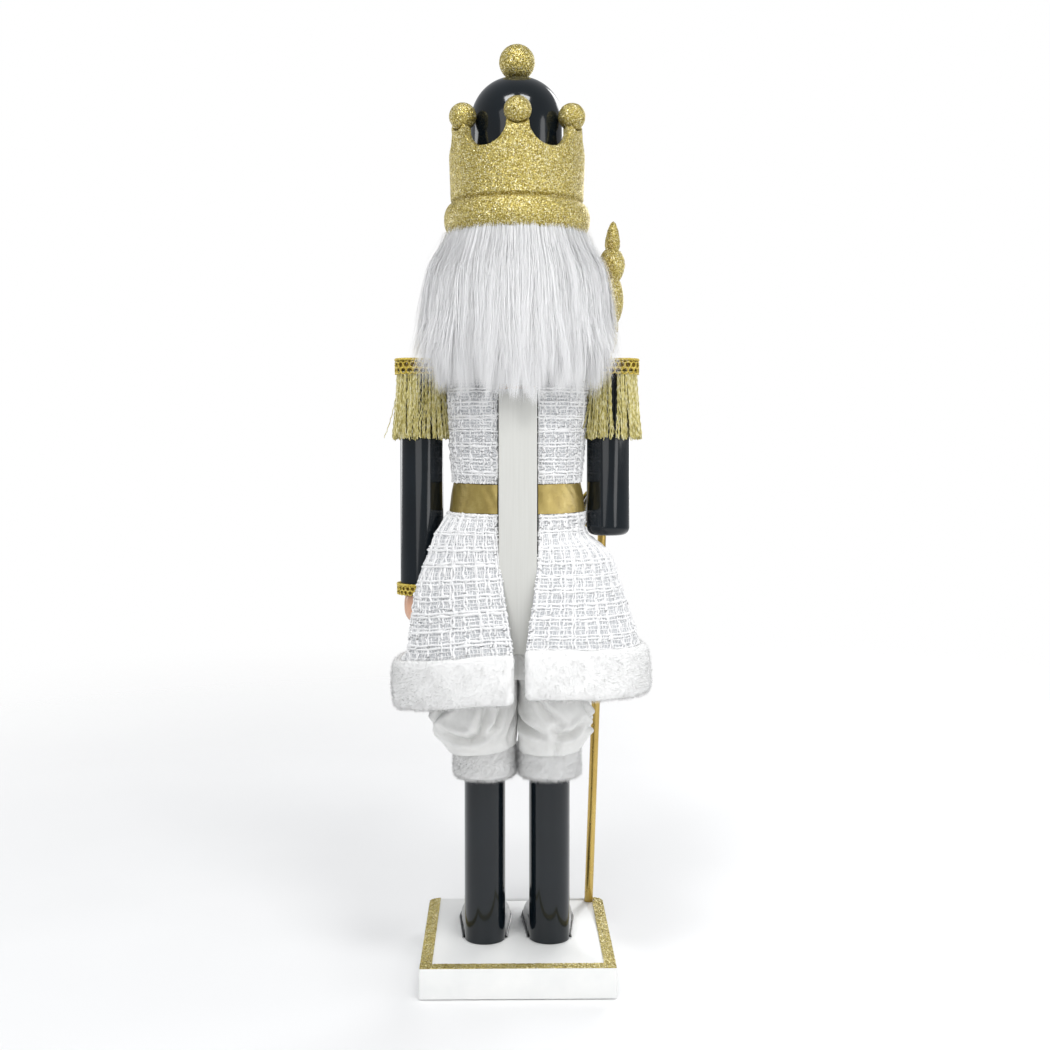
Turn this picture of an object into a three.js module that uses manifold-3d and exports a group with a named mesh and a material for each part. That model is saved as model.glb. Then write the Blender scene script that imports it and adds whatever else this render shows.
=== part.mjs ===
// A tall decorative nutcracker figure, seen as a set of separate pieces.
// Units are millimetres and +Z is up. The origin is the centre of the base board's underside.
// The figure faces -Y. Its own left side is +X.
import * as THREE from 'three';
import { mergeVertices } from 'three/addons/utils/BufferGeometryUtils.js';
import Module from 'manifold-3d';

const wasm = await Module();
wasm.setup();

// ---------------------------------------------------------------- driving dimensions

const GAP = 0.3; // clearance between glued pieces
const FIGURE_Y = 12.5; // the figure stands behind the middle of the board
const SIDES = [['left', 1], ['right', -1]];

const board = { width: 125, depth: 135, height: 19.5, frontCorner: 8, backCorner: 1.5 };
const tape = { width: 8, thickness: 0.6, inset: 0.4 };
const leg = { x: 21.4, radius: 13.55, top: 200 };
const screw = { radius: 1.9, headRadius: 4.4, bottom: 0.6, headTop: 3.8, top: 38 };
const hip = { radius: 36, top: 231.7, chamfer: 4 };
const cuff = { bottom: 128.5, top: 153.8, outer: 21.1, inner: leg.radius + GAP };
const torso = { bottom: 232, top: 404.2, topRadius: 39 };
const belt = { bottom: 304.5, top: 323, inner: 41.2, outerTop: 42.4, outerBottom: 45.3 };
const slot = { half: 13, back: 36.5 }; // the lever's slot through the torso and the head
const lever = { half: 12.05, inner: 39, outer: 50, bottom: 216.7, top: 383.2 };
const pivot = { y: 0, z: 425, radius: 3, halfLength: 35.5 };
const arm = { x: 63, bentX: 60.5, y: -4, radius: 14.2, top: 401.3 };
const wrist = { leftZ: 253.5, rightY: -58, braid: 7.5, outer: 17 };
const elbow = { z: 302.2, bottom: 288, fillet: 6 };
const fist = { leftZ: 243, rightY: -73, radius: 14, width: 13 };
const shoulder = { z: 385, dowel: 4, inner: 29, outer: 58 };
const neck = { x: 25, y: 14, dowel: 4, bottom: 390, top: 416 };
const epaulette = { x: 62.4, y: -4, half: 17.7, top: 404.6, braid: 10, fringe: 43, flare: 4.6 };
const head = { radius: 37, bottom: 404.5, top: 497 };
const rim = { radius: 42.7, thick: 5.3, half: 10, z: 495 };
const wall = { bottom: 503.5, top: 553.5, inner: 37.3, outer: 43.3, lean: 1.7 };
const points = { count: 6, ring: 40.4, ball: 8.9, room: 9.2, z: 558.4, valley: 15.2, valleyZ: 552 };
const dome = { bottom: 497.3, middle: 554.5, radius: 31, height: 33.9, power: 2.2 };
const finial = { z: 598.2, radius: 11.8, spigot: 3.5, spigotBottom: 575 };
const sceptre = { x: -52, y: -73, lean: 2, radius: 3, foot: -7.7, hole: 3.45, tapeHole: 4.55, rodTop: 420 };

// ---------------------------------------------------------------- materials

function finish(color, roughness, metalness = 0) {
  return new THREE.MeshStandardMaterial({ color, roughness, metalness });
}

const blackLacquer = finish(0x12181d, 0.15);
const whitePaint = finish(0xf2f2ef, 0.5);
const leverPaint = finish(0xe3e3df, 0.45);
const bareWood = finish(0xc9a473, 0.7);
const steel = finish(0xb0b4b8, 0.35, 1);
const glitter = finish(0xbda94f, 0.45, 0.7);
const brassPaint = finish(0xb9953a, 0.25, 0.9);
const goldBand = finish(0xb79c4c, 0.4, 0.5);
const gimp = finish(0xd8b93c, 0.5, 0.4);
const lurex = finish(0xcfc06a, 0.4, 0.6);
const fleshPaint = finish(0xdfb193, 0.4);
const tweed = finish(0xe9eaec, 0.9);
const plush = finish(0xf1f1ef, 0.95);
const trouserCloth = finish(0xd4d7db, 0.85);
const whiteFur = finish(0xf3f3f2, 0.95);

// ---------------------------------------------------------------- solids and booleans

function signedVolume(positions, corners) {
  const a = new THREE.Vector3();
  const b = new THREE.Vector3();
  const c = new THREE.Vector3();
  let sum = 0;
  for (let i = 0; i < corners.length; i += 3) {
    a.fromBufferAttribute(positions, corners[i]);
    b.fromBufferAttribute(positions, corners[i + 1]);
    c.fromBufferAttribute(positions, corners[i + 2]);
    sum += a.dot(b.cross(c)) / 6;
  }
  return sum;
}

// One shared-vertex mesh with no collapsed faces and its faces pointing out.
function closed(geometry) {
  const bare = geometry.clone();
  bare.deleteAttribute('normal');
  bare.deleteAttribute('uv');
  const merged = mergeVertices(bare, 1e-4);
  const source = merged.index.array;
  let corners = [];
  for (let i = 0; i < source.length; i += 3) {
    const face = [source[i], source[i + 1], source[i + 2]];
    if (new Set(face).size === 3) corners.push(...face);
  }
  if (signedVolume(merged.attributes.position, corners) < 0) corners = corners.reverse();
  merged.setIndex(corners);
  merged.computeVertexNormals();
  return merged;
}

function toManifold(geometry) {
  const body = closed(geometry);
  return new wasm.Manifold(new wasm.Mesh({
    numProp: 3,
    vertProperties: new Float32Array(body.attributes.position.array),
    triVerts: new Uint32Array(body.index.array),
  }));
}

function fromManifold(solid) {
  const mesh = solid.getMesh();
  const geometry = new THREE.BufferGeometry();
  const positions = new Float32Array(mesh.vertProperties);
  geometry.setAttribute('position', new THREE.BufferAttribute(positions, 3));
  geometry.setIndex(Array.from(mesh.triVerts));
  geometry.computeVertexNormals();
  return geometry;
}

function cut(geometry, ...cutters) {
  let solid = toManifold(geometry);
  for (const cutter of cutters) solid = solid.subtract(toManifold(cutter));
  return fromManifold(solid);
}

// ---------------------------------------------------------------- shape helpers

const at = (x, y, z) => new THREE.Vector3(x, y, z);
const degrees = THREE.MathUtils.degToRad;

// A turned piece: [radius, height] pairs revolved about the vertical axis.
function turned(profile, segments = 36) {
  const outline = profile.map(([radius, height]) => new THREE.Vector2(radius, height));
  return new THREE.LatheGeometry(outline, segments).rotateX(Math.PI / 2);
}

function turnedRing(profile, segments = 36) {
  return turned([...profile, profile[0]], segments);
}

function rod(radius, start, end, segments = 16) {
  const run = new THREE.Vector3().subVectors(end, start);
  const turn = new THREE.Quaternion().setFromUnitVectors(at(0, 1, 0), run.clone().normalize());
  const geometry = new THREE.CylinderGeometry(radius, radius, run.length(), segments);
  geometry.translate(0, run.length() / 2, 0);
  geometry.applyQuaternion(turn);
  return geometry.translate(start.x, start.y, start.z);
}

function block(low, high) {
  const size = new THREE.Vector3().subVectors(high, low);
  const middle = new THREE.Vector3().addVectors(high, low).multiplyScalar(0.5);
  return new THREE.BoxGeometry(size.x, size.y, size.z).translate(middle.x, middle.y, middle.z);
}

function shapeOf(pairs) {
  return new THREE.Shape(pairs.map(([u, v]) => new THREE.Vector2(u, v)));
}

function plate(shape, bottom, top) {
  const options = { depth: top - bottom, bevelEnabled: false, curveSegments: 6 };
  return new THREE.ExtrudeGeometry(shape, options).translate(0, 0, bottom);
}

// A side profile of [y, z] pairs, as wide as half on both sides of x = 0.
function sideProfile(pairs, half) {
  const basis = new THREE.Matrix4().makeBasis(at(0, 1, 0), at(0, 0, 1), at(1, 0, 0));
  const geometry = new THREE.ExtrudeGeometry(shapeOf(pairs), { depth: 2 * half, bevelEnabled: false });
  return geometry.translate(0, 0, -half).applyMatrix4(basis);
}

// A front profile of [x, z] pairs, between two depths.
function frontProfile(pairs, front, back) {
  const basis = new THREE.Matrix4().makeBasis(at(1, 0, 0), at(0, 0, 1), at(0, -1, 0));
  const geometry = new THREE.ExtrudeGeometry(shapeOf(pairs), { depth: back - front, bevelEnabled: false });
  return geometry.applyMatrix4(basis).translate(0, back, 0);
}

// A body through closed rings of points, with a fan at each end.
function loft(rings) {
  const count = rings[0].length;
  const spots = rings.flat();
  const faces = [];
  for (let r = 0; r + 1 < rings.length; r += 1) {
    for (let i = 0; i < count; i += 1) {
      const next = (i + 1) % count;
      const [a, b] = [r * count + i, r * count + next];
      faces.push(a, b, b + count, a, b + count, a + count);
    }
  }
  const last = (rings.length - 1) * count;
  for (const [first, ring, flip] of [[0, rings[0], true], [last, rings.at(-1), false]]) {
    const middle = ring.reduce((sum, spot) => sum.add(spot), at(0, 0, 0)).divideScalar(count);
    spots.push(middle);
    for (let i = 0; i < count; i += 1) {
      const [a, b] = [first + i, first + ((i + 1) % count)];
      faces.push(...(flip ? [b, a, spots.length - 1] : [a, b, spots.length - 1]));
    }
  }
  const geometry = new THREE.BufferGeometry().setFromPoints(spots);
  geometry.setIndex(faces);
  return closed(geometry);
}

// A curved sheet with thickness: two faces over the same (u, v) grid, joined round the edge.
function sheet(outer, inner, across, down) {
  const spots = [];
  const faces = [];
  const row = down + 1;
  const layer = (across + 1) * row;
  for (const face of [outer, inner]) {
    for (let i = 0; i <= across; i += 1) {
      for (let j = 0; j <= down; j += 1) spots.push(face(i / across, j / down));
    }
  }
  const quad = (a, b, c, d) => faces.push(a, b, c, a, c, d);
  for (let i = 0; i < across; i += 1) {
    for (let j = 0; j < down; j += 1) {
      const a = i * row + j;
      quad(a, a + 1, a + row + 1, a + row);
      quad(layer + a, layer + a + row, layer + a + row + 1, layer + a + 1);
    }
  }
  for (let i = 0; i < across; i += 1) {
    const [low, high] = [i * row, i * row + down];
    quad(low + row, layer + low + row, layer + low, low);
    quad(high, layer + high, layer + high + row, high + row);
  }
  for (let j = 0; j < down; j += 1) {
    const far = across * row + j;
    quad(j, layer + j, layer + j + 1, j + 1);
    quad(far + 1, layer + far + 1, layer + far, far);
  }
  const geometry = new THREE.BufferGeometry().setFromPoints(spots);
  geometry.setIndex(faces);
  return closed(geometry);
}

// Linear interpolation in a short table of rows that start with their key, in falling or rising order.
function between(table, key, column = 1) {
  const rows = [...table].sort((a, b) => a[0] - b[0]);
  const above = rows.findIndex((row) => row[0] >= key);
  if (above === 0) return rows[0][column];
  if (above < 0) return rows.at(-1)[column];
  const [low, high] = [rows[above - 1], rows[above]];
  return THREE.MathUtils.mapLinear(key, low[0], high[0], low[column], high[column]);
}

// Polar angle phi is measured from the back (+Y) round towards side * X, so 180 is the front.
function polar(side, phi, radius, z) {
  return at(side * radius * Math.sin(degrees(phi)), radius * Math.cos(degrees(phi)), z);
}

function squareOval(halfX, halfY, power, count, centre, z) {
  const ring = [];
  for (let i = 0; i < count; i += 1) {
    const turn = (2 * Math.PI * i) / count;
    const [c, s] = [Math.cos(turn), Math.sin(turn)];
    const x = Math.sign(c) * halfX * Math.abs(c) ** (2 / power);
    const y = Math.sign(s) * halfY * Math.abs(s) ** (2 / power);
    ring.push(at(centre[0] + x, centre[1] + y, z));
  }
  return ring;
}

// ---------------------------------------------------------------- scene graph

const nutcracker = new THREE.Group();
const figure = new THREE.Group();
figure.position.y = FIGURE_Y;
nutcracker.add(figure);

function addPart(name, geometry, material, parent = figure) {
  const mesh = new THREE.Mesh(closed(geometry), material);
  mesh.name = name;
  parent.add(mesh);
  return mesh;
}

// ---------------------------------------------------------------- base board

function boardOutline(inset) {
  const right = board.width / 2 - inset;
  const back = board.depth / 2 - inset;
  const front = board.frontCorner - inset;
  const rear = board.backCorner;
  const outline = new THREE.Shape();
  outline.moveTo(-right + front, -back);
  outline.lineTo(right - front, -back);
  outline.absarc(right - front, -back + front, front, -Math.PI / 2, 0);
  outline.lineTo(right, back - rear);
  outline.absarc(right - rear, back - rear, rear, 0, Math.PI / 2);
  outline.lineTo(-right + rear, back);
  outline.absarc(-right + rear, back - rear, rear, Math.PI / 2, Math.PI);
  outline.lineTo(-right, -back + front);
  outline.absarc(-right + front, -back + front, front, Math.PI, 1.5 * Math.PI);
  return outline;
}

// The sceptre leans outwards; this is the line of its axis, at a height s above the board.
function onSceptre(s) {
  const lean = degrees(sceptre.lean);
  return at(sceptre.x - s * Math.sin(lean), sceptre.y + FIGURE_Y, board.height + s * Math.cos(lean));
}

function screwBody(x, clearance) {
  const shank = screw.radius + clearance;
  const headRadius = screw.headRadius + clearance;
  const bottom = clearance > 0 ? -1 : screw.bottom;
  const profile = [[0, bottom], [headRadius, bottom], [headRadius, screw.bottom + 0.4],
    [shank, screw.headTop], [shank, screw.top + clearance], [0, screw.top + clearance]];
  return turned(profile, 20).translate(x, 0, 0);
}

const screwHole = (side) => screwBody(side * leg.x, GAP);
const socket = rod(sceptre.hole, onSceptre(-8), onSceptre(6));
const boardHoles = SIDES.map(([, side]) => screwHole(side).translate(0, FIGURE_Y, 0));
const boardPlate = plate(boardOutline(0), 0, board.height);
addPart('base_board', cut(boardPlate, socket, ...boardHoles), whitePaint, nutcracker);

const tapeInner = board.width / 2 - tape.width;
const tapeBack = board.depth / 2 - tape.width;
const tapeOpening = block(at(-tapeInner, -board.depth, 0), at(tapeInner, tapeBack, 40));
const tapeHole = rod(sceptre.tapeHole, onSceptre(-8), onSceptre(6));
const tapePlate = plate(boardOutline(tape.inset), board.height, board.height + tape.thickness);
addPart('base_glitter_tape', cut(tapePlate, tapeOpening, tapeHole), glitter, nutcracker);

// ---------------------------------------------------------------- legs, shoes and trousers

// Shoe sections along its length: distance in front of the leg's axis, half width, height.
const shoeSections = [[0, 13.9, 22], [14, 15, 22], [30, 16.4, 19], [45, 16.8, 15], [55, 14.2, 11],
  [61, 8.5, 7], [63.5, 3, 4]];

function shoe(x) {
  const rings = shoeSections.map(([forward, half, height]) => {
    const ring = [];
    for (let i = 0; i <= 12; i += 1) {
      const turn = (Math.PI * i) / 12;
      const lift = height * Math.sin(turn) ** 0.8;
      ring.push(at(x + half * Math.cos(turn), -forward, board.height + lift));
    }
    return ring;
  });
  const ankle = rod(leg.radius + GAP, at(x, 0, 10), at(x, 0, 60), 40);
  return cut(loft(rings), ankle);
}

// Trouser leg sections: height, how far out it reaches, half depth.
const puff = {
  left: [[154.2, 45, 23], [158.5, 56.5, 30], [166, 56.5, 33], [180, 54, 34], [197, 46, 35]],
  right: [[154.2, 42, 23], [159, 46.5, 29], [168, 47.5, 32], [182, 46, 34], [197, 43, 35]],
};
const waistband = { radius: 37.9, bottom: 206, top: 230.5, split: 0.4 };

function trouser(sideName, side) {
  const oval = (centre, halfX, halfY, z) => squareOval(halfX, halfY, 2.2, 24, [centre, 0], z)
    .map((spot) => at(side * Math.max(spot.x, waistband.split), spot.y, z));
  const rings = puff[sideName].map(([z, reach, depth]) => oval(reach / 2, reach / 2, depth, z));
  for (const z of [waistband.bottom, waistband.top]) {
    rings.push(oval(0, waistband.radius, waistband.radius, z));
  }
  const legHole = rod(leg.radius + GAP, at(side * leg.x, 0, 150), at(side * leg.x, 0, leg.top + 1), 40);
  const hipRoom = hip.radius + GAP;
  const hipHole = turned([[0, leg.top - GAP], [hipRoom, leg.top - GAP], [hipRoom, 240], [0, 240]]);
  return cut(loft(rings), legHole, hipHole);
}

const cuffProfile = [[cuff.inner, cuff.bottom], [18, cuff.bottom], [cuff.outer, cuff.bottom + 5],
  [cuff.outer, cuff.top - 5], [18.4, cuff.top], [cuff.inner, cuff.top]];

for (const [name, side] of SIDES) {
  const x = side * leg.x;
  const dowel = turned([[0, board.height], [leg.radius, board.height], [leg.radius, leg.top], [0, leg.top]]);
  addPart(`leg_screw_${name}`, screwBody(x, 0), steel);
  addPart(`shoe_${name}`, shoe(x), blackLacquer);
  addPart(`leg_${name}`, cut(dowel.translate(x, 0, 0), screwHole(side)), blackLacquer);
  addPart(`fur_cuff_${name}`, turnedRing(cuffProfile, 36), plush).position.x = x;
  addPart(`trouser_${name}`, trouser(name, side), trouserCloth);
}

const hipProfile = [[0, leg.top], [hip.radius - hip.chamfer, leg.top], [hip.radius, leg.top + hip.chamfer],
  [hip.radius, hip.top], [0, hip.top]];
addPart('hip_block', turned(hipProfile), bareWood);

// ---------------------------------------------------------------- torso and the lever's slot

const torsoRadii = [[232, 40], [236, 41], [300, 41], [310, 40], [323, 40], [338, 41.4], [350, 42.2],
  [398, 42.3]];
const torsoSide = torsoRadii.map(([z, radius]) => [radius, z]);
const torsoProfile = [[0, torso.bottom], ...torsoSide, [torso.topRadius, torso.top], [0, torso.top]];

const torsoSlot = sideProfile([[60, 200], [slot.back, 200], [slot.back, 328], [26, 331], [-2, 388],
  [-60, 388], [-60, 420], [60, 420]], slot.half);

function shoulderDowel(side, clearance) {
  const reach = side > 0 ? shoulder.outer : shoulder.outer - 2;
  const start = at(side * (shoulder.inner - clearance), arm.y, shoulder.z);
  const end = at(side * (reach + clearance), arm.y, shoulder.z);
  return rod(shoulder.dowel + clearance, start, end);
}

function neckDowel(side, clearance) {
  const start = at(side * neck.x, neck.y, neck.bottom - clearance);
  const end = at(side * neck.x, neck.y, neck.top + clearance);
  return rod(neck.dowel + clearance, start, end);
}

const shoulderHoles = SIDES.map(([, side]) => shoulderDowel(side, GAP));
const neckHoles = SIDES.map(([, side]) => neckDowel(side, GAP));
addPart('torso', cut(turned(torsoProfile, 40), torsoSlot, ...shoulderHoles, ...neckHoles), blackLacquer);
for (const [name, side] of SIDES) {
  addPart(`shoulder_dowel_${name}`, shoulderDowel(side, 0), bareWood);
  addPart(`neck_dowel_${name}`, neckDowel(side, 0), bareWood);
}

// ---------------------------------------------------------------- coat, belt and skirt

// A band round the body, open at the back over the lever's slot.
function wrap(bottom, top, innerAt, outerAt, across, down) {
  const openHalf = lever.half + 1.4;
  const layer = (radiusAt) => (u, v) => {
    const z = THREE.MathUtils.lerp(top, bottom, v);
    const open = THREE.MathUtils.radToDeg(Math.asin(openHalf / innerAt(z)));
    return polar(1, THREE.MathUtils.lerp(open, 360 - open, u), radiusAt(z), z);
  };
  return sheet(layer(outerAt), layer(innerAt), across, down);
}

const bodice = { bottom: 323.4, top: 401.5, clearance: 0.6, thickness: 1.6 };
const bodiceInner = (z) => between(torsoRadii, z) + bodice.clearance;
const bodiceOuter = (z) => bodiceInner(z) + bodice.thickness;
const chinNotch = block(at(-13.5, -60, 387), at(13.5, 0, 420));
const bodiceWrap = wrap(bodice.bottom, bodice.top, bodiceInner, bodiceOuter, 32, 4);
addPart('coat_bodice', cut(bodiceWrap, chinNotch, ...shoulderHoles), tweed);

const beltOuter = (z) => THREE.MathUtils.mapLinear(z, belt.bottom, belt.top, belt.outerBottom, belt.outerTop);
addPart('belt', wrap(belt.bottom, belt.top, () => belt.inner, beltOuter, 32, 1), goldBand);

const buckle = { half: 15, halfHeight: 12.5, bar: 4.5, front: -48.4, back: -46, z: 313.7 };
function rectangle(half, halfHeight) {
  const [low, high] = [buckle.z - halfHeight, buckle.z + halfHeight];
  return [[-half, low], [half, low], [half, high], [-half, high]];
}
const buckleWindow = rectangle(buckle.half - buckle.bar, buckle.halfHeight - buckle.bar);
addPart('belt_buckle', cut(
  frontProfile(rectangle(buckle.half, buckle.halfHeight), buckle.front, buckle.back),
  frontProfile(buckleWindow, buckle.front - 2, buckle.back + 2),
), brassPaint);

// Skirt sections: height, half width at the side, half depth at the back and the front.
const skirt = {
  top: 304.2,
  thickness: 2.2,
  slit: lever.half + 1.5,
  frontSlit: 5,
  furHeight: 31.5,
  seam: 217,
  steps: 28,
  left: [[304.2, 44.4, 44.4], [293, 54, 46], [275, 62, 49.5], [259, 68.5, 52.5], [241, 71.5, 56],
    [222, 74, 59.5], [200, 76.5, 62], [176, 77, 63.5]],
  right: [[304.2, 44.3, 44.3], [289, 45.8, 46.4], [279, 58, 48.8], [259, 67, 52.5], [241, 73, 56],
    [225, 78.5, 59], [200, 83, 62], [186, 84.5, 63.5]],
};
const hemFall = { left: [187.5, 11.5], right: [190, 4] }; // height at the slits, drop at the side
function hemBottom(name, phi) {
  const [height, drop] = hemFall[name];
  return height - drop * Math.sin(degrees(phi)) ** 2;
}

// The left tail hangs behind the straight arm and dips in round it as low as the fist.
const armRoom = { clear: 4.4, relax: 1.6 };
function armLimit(phi, z) {
  const clearOf = arm.radius + armRoom.clear;
  const turn = degrees(phi) - Math.atan2(arm.x, arm.y);
  const reach = Math.hypot(arm.x, arm.y);
  const off = reach * Math.sin(turn);
  if (Math.abs(off) >= clearOf || Math.cos(turn) < 0) return Infinity;
  const near = reach * Math.cos(turn) - Math.sqrt(clearOf ** 2 - off ** 2);
  return near + armRoom.relax * Math.max(0, fist.leftZ - fist.radius - 2 - z);
}

function skirtRadius(name, phi, z) {
  const halfWidth = between(skirt[name], z, 1);
  const halfDepth = between(skirt[name], z, 2);
  const wide = halfDepth * Math.sin(degrees(phi));
  const deep = halfWidth * Math.cos(degrees(phi));
  const flare = (halfWidth * halfDepth) / Math.hypot(wide, deep);
  return name === 'left' ? Math.min(flare, armLimit(phi, z)) : flare;
}

function skirtAngle(name, u, z) {
  const opening = (half, phi) => {
    const inner = skirtRadius(name, phi, z) - skirt.thickness;
    return THREE.MathUtils.radToDeg(Math.asin(half / inner));
  };
  return THREE.MathUtils.lerp(opening(skirt.slit, 12), 180 - opening(skirt.frontSlit, 176), u);
}

function skirtPanel(name, side) {
  const layer = (depth) => (u, v) => {
    const bottom = hemBottom(name, skirtAngle(name, u, skirt.seam)) + skirt.furHeight + GAP;
    const z = THREE.MathUtils.lerp(skirt.top, bottom, v);
    const phi = skirtAngle(name, u, z);
    return polar(side, phi, skirtRadius(name, phi, z) - depth, z);
  };
  return sheet(layer(0), layer(skirt.thickness), skirt.steps, 6);
}

const fur = { out: 4.8, in: 1.5, corner: 3.2 };
function hemBand(name, side) {
  const rings = [];
  for (let i = 0; i <= skirt.steps; i += 1) {
    const phi = skirtAngle(name, i / skirt.steps, skirt.seam);
    const bottom = hemBottom(name, phi);
    const top = bottom + skirt.furHeight;
    const out = (z, depth) => polar(side, phi, skirtRadius(name, phi, z) + depth, z);
    rings.push([
      out(bottom, fur.in - fur.corner), out(bottom, fur.out - fur.corner), out(bottom + fur.corner, fur.out),
      out(top - fur.corner, fur.out), out(top, fur.out - fur.corner), out(top, fur.in - fur.corner),
      out(top - fur.corner, -fur.in), out(bottom + fur.corner, -fur.in),
    ]);
  }
  return loft(rings);
}

for (const [name, side] of SIDES) {
  addPart(`coat_skirt_${name}`, skirtPanel(name, side), tweed);
  addPart(`hem_fur_${name}`, hemBand(name, side), plush);
}

// ---------------------------------------------------------------- arms and hands

function ball(radii, centre, around = 16, down = 10) {
  const geometry = new THREE.SphereGeometry(1, around, down).rotateX(Math.PI / 2);
  return geometry.scale(...radii).translate(...centre);
}

const armTop = [[arm.radius, arm.top - 3], [arm.radius - 3, arm.top], [0, arm.top]];
const straightArm = turned([[0, wrist.leftZ], [arm.radius, wrist.leftZ], ...armTop]);
straightArm.translate(arm.x, arm.y, 0);
const cornerCut = 0.3 * elbow.fillet; // where a three-sided corner passes inside the round one
const bentArm = turned([[0, elbow.bottom], [arm.radius - elbow.fillet, elbow.bottom],
  [arm.radius - cornerCut, elbow.bottom + cornerCut], [arm.radius, elbow.bottom + elbow.fillet], ...armTop]);
bentArm.translate(-arm.bentX, arm.y, 0);
const elbowPeg = (clearance) => rod(3.8 + clearance, at(-arm.bentX, arm.y - 6 + clearance, elbow.z),
  at(-arm.bentX, arm.y - 32 - clearance, elbow.z));
const upperArmRoom = rod(arm.radius + GAP, at(-arm.bentX, arm.y, 280), at(-arm.bentX, arm.y, 330), 40);
const forearmRod = rod(arm.radius, at(-arm.bentX, arm.y, elbow.z), at(-arm.bentX, wrist.rightY, elbow.z), 32);

addPart('arm_left', cut(straightArm, shoulderHoles[0]), blackLacquer);
addPart('upper_arm_right', cut(bentArm, shoulderHoles[1], elbowPeg(GAP)), blackLacquer);
addPart('forearm_right', cut(forearmRod, upperArmRoom, elbowPeg(GAP)), blackLacquer);
addPart('elbow_dowel', elbowPeg(0), bareWood);

const braidRing = turnedRing([[arm.radius + GAP, 0], [wrist.outer - 1, 0], [wrist.outer, 2],
  [wrist.outer, wrist.braid - 2], [wrist.outer - 1, wrist.braid], [arm.radius + GAP, wrist.braid]], 24);
addPart('wrist_braid_left', braidRing, gimp).position.set(arm.x, arm.y, wrist.leftZ - 4.5);
const rightBraid = addPart('wrist_braid_right', braidRing, gimp);
rightBraid.position.set(-arm.bentX, wrist.rightY - 2.5, elbow.z);
rightBraid.rotation.x = -Math.PI / 2;

const gripX = onSceptre(elbow.z - board.height).x;
const gripHole = rod(sceptre.hole, onSceptre(250), onSceptre(310)).translate(0, -FIGURE_Y, 0);
const leftCut = block(at(40, -30, wrist.leftZ - GAP), at(90, 30, 280));
const rightCut = block(at(-90, wrist.rightY - GAP, 270), at(-30, 0, 330));
const leftFist = ball([fist.width, fist.radius, fist.radius], [arm.x, arm.y, fist.leftZ]);
const rightFist = ball([fist.width, fist.radius + 1.6, fist.radius], [gripX, fist.rightY, elbow.z]);
addPart('hand_left', cut(leftFist, leftCut), fleshPaint);
addPart('hand_right', cut(rightFist, rightCut, gripHole), fleshPaint);

// ---------------------------------------------------------------- epaulettes

function ovalShape(half) {
  return shapeOf(squareOval(half, half, 3, 32, [0, 0], 0).map((spot) => [spot.x, spot.y]));
}

function braidBand() {
  const shape = ovalShape(epaulette.half);
  shape.holes.push(ovalShape(epaulette.half - 1.5));
  return plate(shape, epaulette.top - epaulette.braid, epaulette.top);
}

// Threads that hang from the braid on every side but the one against the neck.
function fringe(side) {
  const open = 126;
  const layer = (inset) => (u, v) => {
    const turn = degrees(THREE.MathUtils.lerp(-open, open, u));
    const half = epaulette.half - inset + epaulette.flare * v;
    const x = side * Math.sign(Math.cos(turn)) * half * Math.abs(Math.cos(turn)) ** 0.7;
    const y = Math.sign(Math.sin(turn)) * half * Math.abs(Math.sin(turn)) ** 0.7;
    return at(x, y, epaulette.top - epaulette.braid - GAP - epaulette.fringe * v);
  };
  return sheet(layer(0), layer(2), 24, 2);
}

for (const [name, side] of SIDES) {
  const place = (mesh) => mesh.position.set(side * epaulette.x, epaulette.y, 0);
  const padPlate = plate(ovalShape(epaulette.half - 1.5 - GAP), arm.top + GAP, epaulette.top - 0.4);
  place(addPart(`epaulette_board_${name}`, padPlate, gimp));
  place(addPart(`epaulette_braid_${name}`, braidBand(), gimp));
  place(addPart(`epaulette_fringe_${name}`, fringe(side), lurex));
}

// ---------------------------------------------------------------- head and face

const headSlot = sideProfile([[-60, -24], [-60, -1.5], [-25, -1.5], [-12, 11.5], [0, 14], [10, 13.5], [16, 8],
  [44, -18], [60, -18], [60, -24]].map(([y, z]) => [y, pivot.z + z]), slot.half);
function pinRod(clearance) {
  const reach = pivot.halfLength + 3 * clearance;
  return rod(pivot.radius + clearance, at(-reach, pivot.y, pivot.z), at(reach, pivot.y, pivot.z));
}
const headProfile = [[0, head.bottom], [head.radius - 4, head.bottom], [head.radius, head.bottom + 4],
  [head.radius, head.top - 4], [head.radius - 4, head.top], [0, head.top]];
const headRoom = rod(head.radius + GAP, at(0, 0, head.bottom - 5), at(0, 0, head.top), 40);

addPart('head', cut(turned(headProfile, 40), headSlot, pinRod(GAP), ...neckHoles), fleshPaint);
addPart('pivot_pin', pinRod(0), steel);

const noseProfile = [[0, 0], [5.6, 0], [5.8, 5], [5, 10], [3.2, 13], [0, 14]];
const nose = turned(noseProfile, 20).rotateX(Math.PI / 2).translate(0, -35, 443);
addPart('nose', cut(nose, headRoom), fleshPaint);

const moustacheHalf = [[0, 436], [8, 437.5], [15, 434.5], [21, 437], [23, 440], [22, 432], [14, 427],
  [6, 426], [0, 428]];
const otherHalf = moustacheHalf.slice(1, -1).reverse().map(([x, z]) => [-x, z]);
const moustacheOutline = [...moustacheHalf, ...otherHalf];
addPart('moustache', cut(frontProfile(moustacheOutline, -42, -26), headRoom), whiteFur);

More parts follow.
